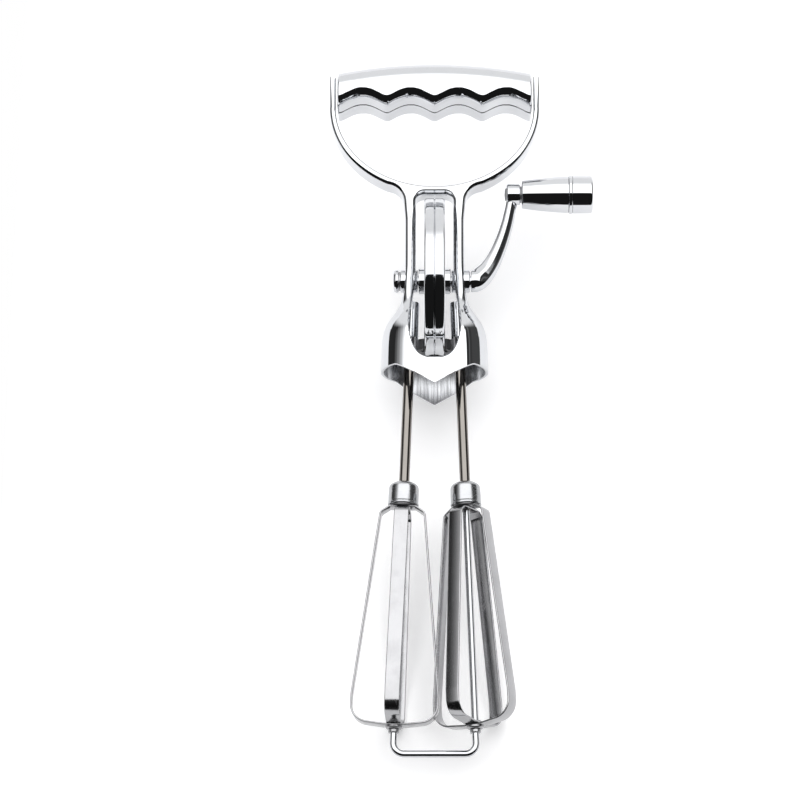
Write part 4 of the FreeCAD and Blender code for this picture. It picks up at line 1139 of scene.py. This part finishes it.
def studio_world(settings):
    """Big soft window over the camera, dark below and beside it, grey ceiling above."""
    world = bpy.data.worlds.new("studio")
    tree = Tree(world)
    way = tree.add("TexCoord", {})["Generated"]

    def along(direction):
        return tree.add("VectorMath", {"operation": "DOT_PRODUCT"}, way, tuple(direction))["Value"]

    degrees = 180 / pi
    yaw = along(RIGHT).math("ARCTAN2", along(-REAR)) * degrees
    lift = along(UP).math("ARCSINE") * degrees
    around = tree.curve(yaw, -180, 180, LIGHT_AROUND)
    above_low = lift.ramp(*WINDOW_LOW)
    above_high = lift.ramp(*WINDOW_HIGH)
    share = above_low * around * (1.0 - above_high) + above_high * CEILING_SHARE
    light = share * settings.light_strength + settings.dark_level
    camera_ray = tree.add("LightPath", {})["Is Camera Ray"]
    light = light * (1.0 - camera_ray) + camera_ray
    background = tree.add("Background", {}, (1, 1, 1, 1), light)
    tree.add("OutputWorld", {}, background["Background"])
    return world


def backdrop_material(settings):
    """Matt white seen from its front only; from behind it is clear."""
    material = bpy.data.materials.new("paper")
    tree = Tree(material)
    place = tree.add("TexCoord", {})["Object"]
    tooth = tree.noise(place, 500.0, 2.0)
    colour = tree.mix(tooth * 0.04, tuple(settings.floor_colour), (0.9, 0.9, 0.9))
    matt = tree.add("BsdfPrincipled", {}, Base_Color=colour, Roughness=0.9,
                    Emission_Color=(1, 1, 1, 1), Emission_Strength=settings.floor_glow)["BSDF"]
    clear = tree.add("BsdfTransparent", {}, (1, 1, 1, 1))["BSDF"]
    behind = tree.add("NewGeometry", {})["Backfacing"]
    both = tree.add("MixShader", {}, behind, matt, clear)["Shader"]
    tree.add("OutputMaterial", {}, both)
    return material


class EGGBEATER_OT_stage(bpy.types.Operator):
    """Pale floor the beater lies against, soft studio light and the camera"""

    bl_idname = "egg_beater.stage"
    bl_label = "Studio stage"

    def execute(self, context):
        settings = context.scene.egg_beater_studio
        scene = context.scene
        deselect()
        wheel_back = high("wheel_right_half")
        hoop_back = high("inner_hoop_left")
        tilt = atan2(wheel_back.y - hoop_back.y, AXLE.z - HOOP_REST)
        bpy.ops.mesh.primitive_grid_add(x_subdivisions=24, y_subdivisions=24, size=1.0)
        floor = context.object
        floor.name = floor.data.name = "floor"
        left, right, down, up = FLOOR_EDGES
        floor.scale = (right - left, up - down, 1)
        floor.rotation_euler = (pi / 2 - tilt, 0, 0)
        middle = (down + up) / 2
        floor.location = (
            (left + right) / 2, (wheel_back.y + FLOOR_GAP) * MM + middle * sin(tilt),
            AXLE.z * MM + middle * cos(tilt))
        bpy.ops.object.transform_apply(location=True, rotation=True, scale=True)
        floor.data.materials.append(backdrop_material(settings))
        scene.world = studio_world(settings)
        back = Vector((0, cos(CAMERA_ELEVATION), -sin(CAMERA_ELEVATION)))
        bpy.ops.object.camera_add()
        camera = context.object
        camera.location = CAMERA_TARGET - back * CAMERA_DISTANCE
        camera.rotation_euler = (pi / 2 - CAMERA_ELEVATION, 0, 0)
        camera.data.sensor_width = SENSOR
        camera.data.lens = SENSOR * CAMERA_DISTANCE / FIELD_WIDTH
        camera.data.shift_x = -SHIFT_RIGHT
        camera.data.clip_start = 0.01
        camera.data.clip_end = 20.0
        scene.camera = camera
        scene.view_settings.view_transform = "Standard"
        return {"FINISHED"}


# ---- settings, panel, registration

class EggBeaterSizes(bpy.types.PropertyGroup):
    leg_rounding: FloatProperty(
        name="Leg rounding", description="Edge radius of the upper legs and the loop's root",
        default=EDGE_ROUND * MM, subtype="DISTANCE", unit="LENGTH", precision=5)
    inner_rounding: FloatProperty(
        name="Opening rounding", description="Edge radius round the hand opening",
        default=0.9 * MM, subtype="DISTANCE", unit="LENGTH", precision=5)


class EggBeaterFinish(bpy.types.PropertyGroup):
    chrome_colour: FloatVectorProperty(
        name="Chrome", description="Reflected colour of the chrome plate",
        default=(0.63, 0.64, 0.66), subtype="COLOR", min=0, max=1)
    steel_colour: FloatVectorProperty(
        name="Steel", description="Reflected colour of strip, caps and fasteners",
        default=(0.39, 0.39, 0.4), subtype="COLOR", min=0, max=1)
    # darkened well below the chrome as painted shade
    shaded_tube_colour: FloatVectorProperty(
        name="Tubes", description="Reflected colour of the drive tubes",
        default=(0.23, 0.215, 0.2), subtype="COLOR", min=0, max=1)
    gear_colour: FloatVectorProperty(
        name="Gears", description="Reflected colour of the pinions",
        default=(0.4, 0.4, 0.41), subtype="COLOR", min=0, max=1)
    chrome_roughness: FloatProperty(
        name="Chrome roughness", description="Polish of the chrome plate",
        default=0.035, min=0, max=1, subtype="FACTOR")
    satin_roughness: FloatProperty(
        name="Satin roughness", description="Polish of strip steel and caps",
        default=0.26, min=0, max=1, subtype="FACTOR")


class EggBeaterStudio(bpy.types.PropertyGroup):
    floor_colour: FloatVectorProperty(
        name="Floor", description="Colour of the pale floor",
        default=(0.88, 0.88, 0.89), subtype="COLOR", min=0, max=1)
    floor_glow: FloatProperty(
        name="Floor glow", description="Light added by the lit paper of the floor",
        default=0.335, min=0)
    light_strength: FloatProperty(
        name="Light", description="Brightness of the soft studio light", default=2.3, min=0)
    dark_level: FloatProperty(
        name="Dark level", description="Brightness of the studio's dark side", default=0.012, min=0)


class EGGBEATER_PT_panel(bpy.types.Panel):
    """Settings and steps of the egg beater's looks"""

    bl_idname = "EGGBEATER_PT_panel"
    bl_label = "Egg Beater"
    bl_space_type = "VIEW_3D"
    bl_region_type = "UI"
    bl_category = "Egg Beater"

    def draw(self, context):
        layout = self.layout
        for group in (context.scene.egg_beater_sizes, context.scene.egg_beater_finish,
                      context.scene.egg_beater_studio):
            for key in group.__annotations__:
                layout.prop(group, key)
        for operator in OPERATORS:
            layout.operator(operator.bl_idname)


OPERATORS = (
    EGGBEATER_OT_stage,
    EGGBEATER_OT_grip,
    EGGBEATER_OT_casting,
    EGGBEATER_OT_wire,
    EGGBEATER_OT_wheel,
    EGGBEATER_OT_crank,
    EGGBEATER_OT_knob,
    EGGBEATER_OT_beaters,
    EGGBEATER_OT_small_parts,
)
GROUPS = {
    "egg_beater_sizes": EggBeaterSizes,
    "egg_beater_finish": EggBeaterFinish,
    "egg_beater_studio": EggBeaterStudio,
}


def register():
    """Register settings, steps and panel."""
    for group in GROUPS.values():
        bpy.utils.register_class(group)
    for operator in OPERATORS:
        bpy.utils.register_class(operator)
    bpy.utils.register_class(EGGBEATER_PT_panel)
    for name, group in GROUPS.items():
        setattr(bpy.types.Scene, name, PointerProperty(type=group))


def unregister():
    """Undo register."""
    for name in GROUPS:
        delattr(bpy.types.Scene, name)
    bpy.utils.unregister_class(EGGBEATER_PT_panel)
    for operator in reversed(OPERATORS):
        bpy.utils.unregister_class(operator)
    for group in reversed(list(GROUPS.values())):
        bpy.utils.unregister_class(group)


def main():
    """Build every piece in order."""
    register()
    for operator in OPERATORS:
        name = operator.bl_idname.split(".")[1]
        getattr(bpy.ops.egg_beater, name)()
    deselect()


if __name__ == "__main__":
    main()
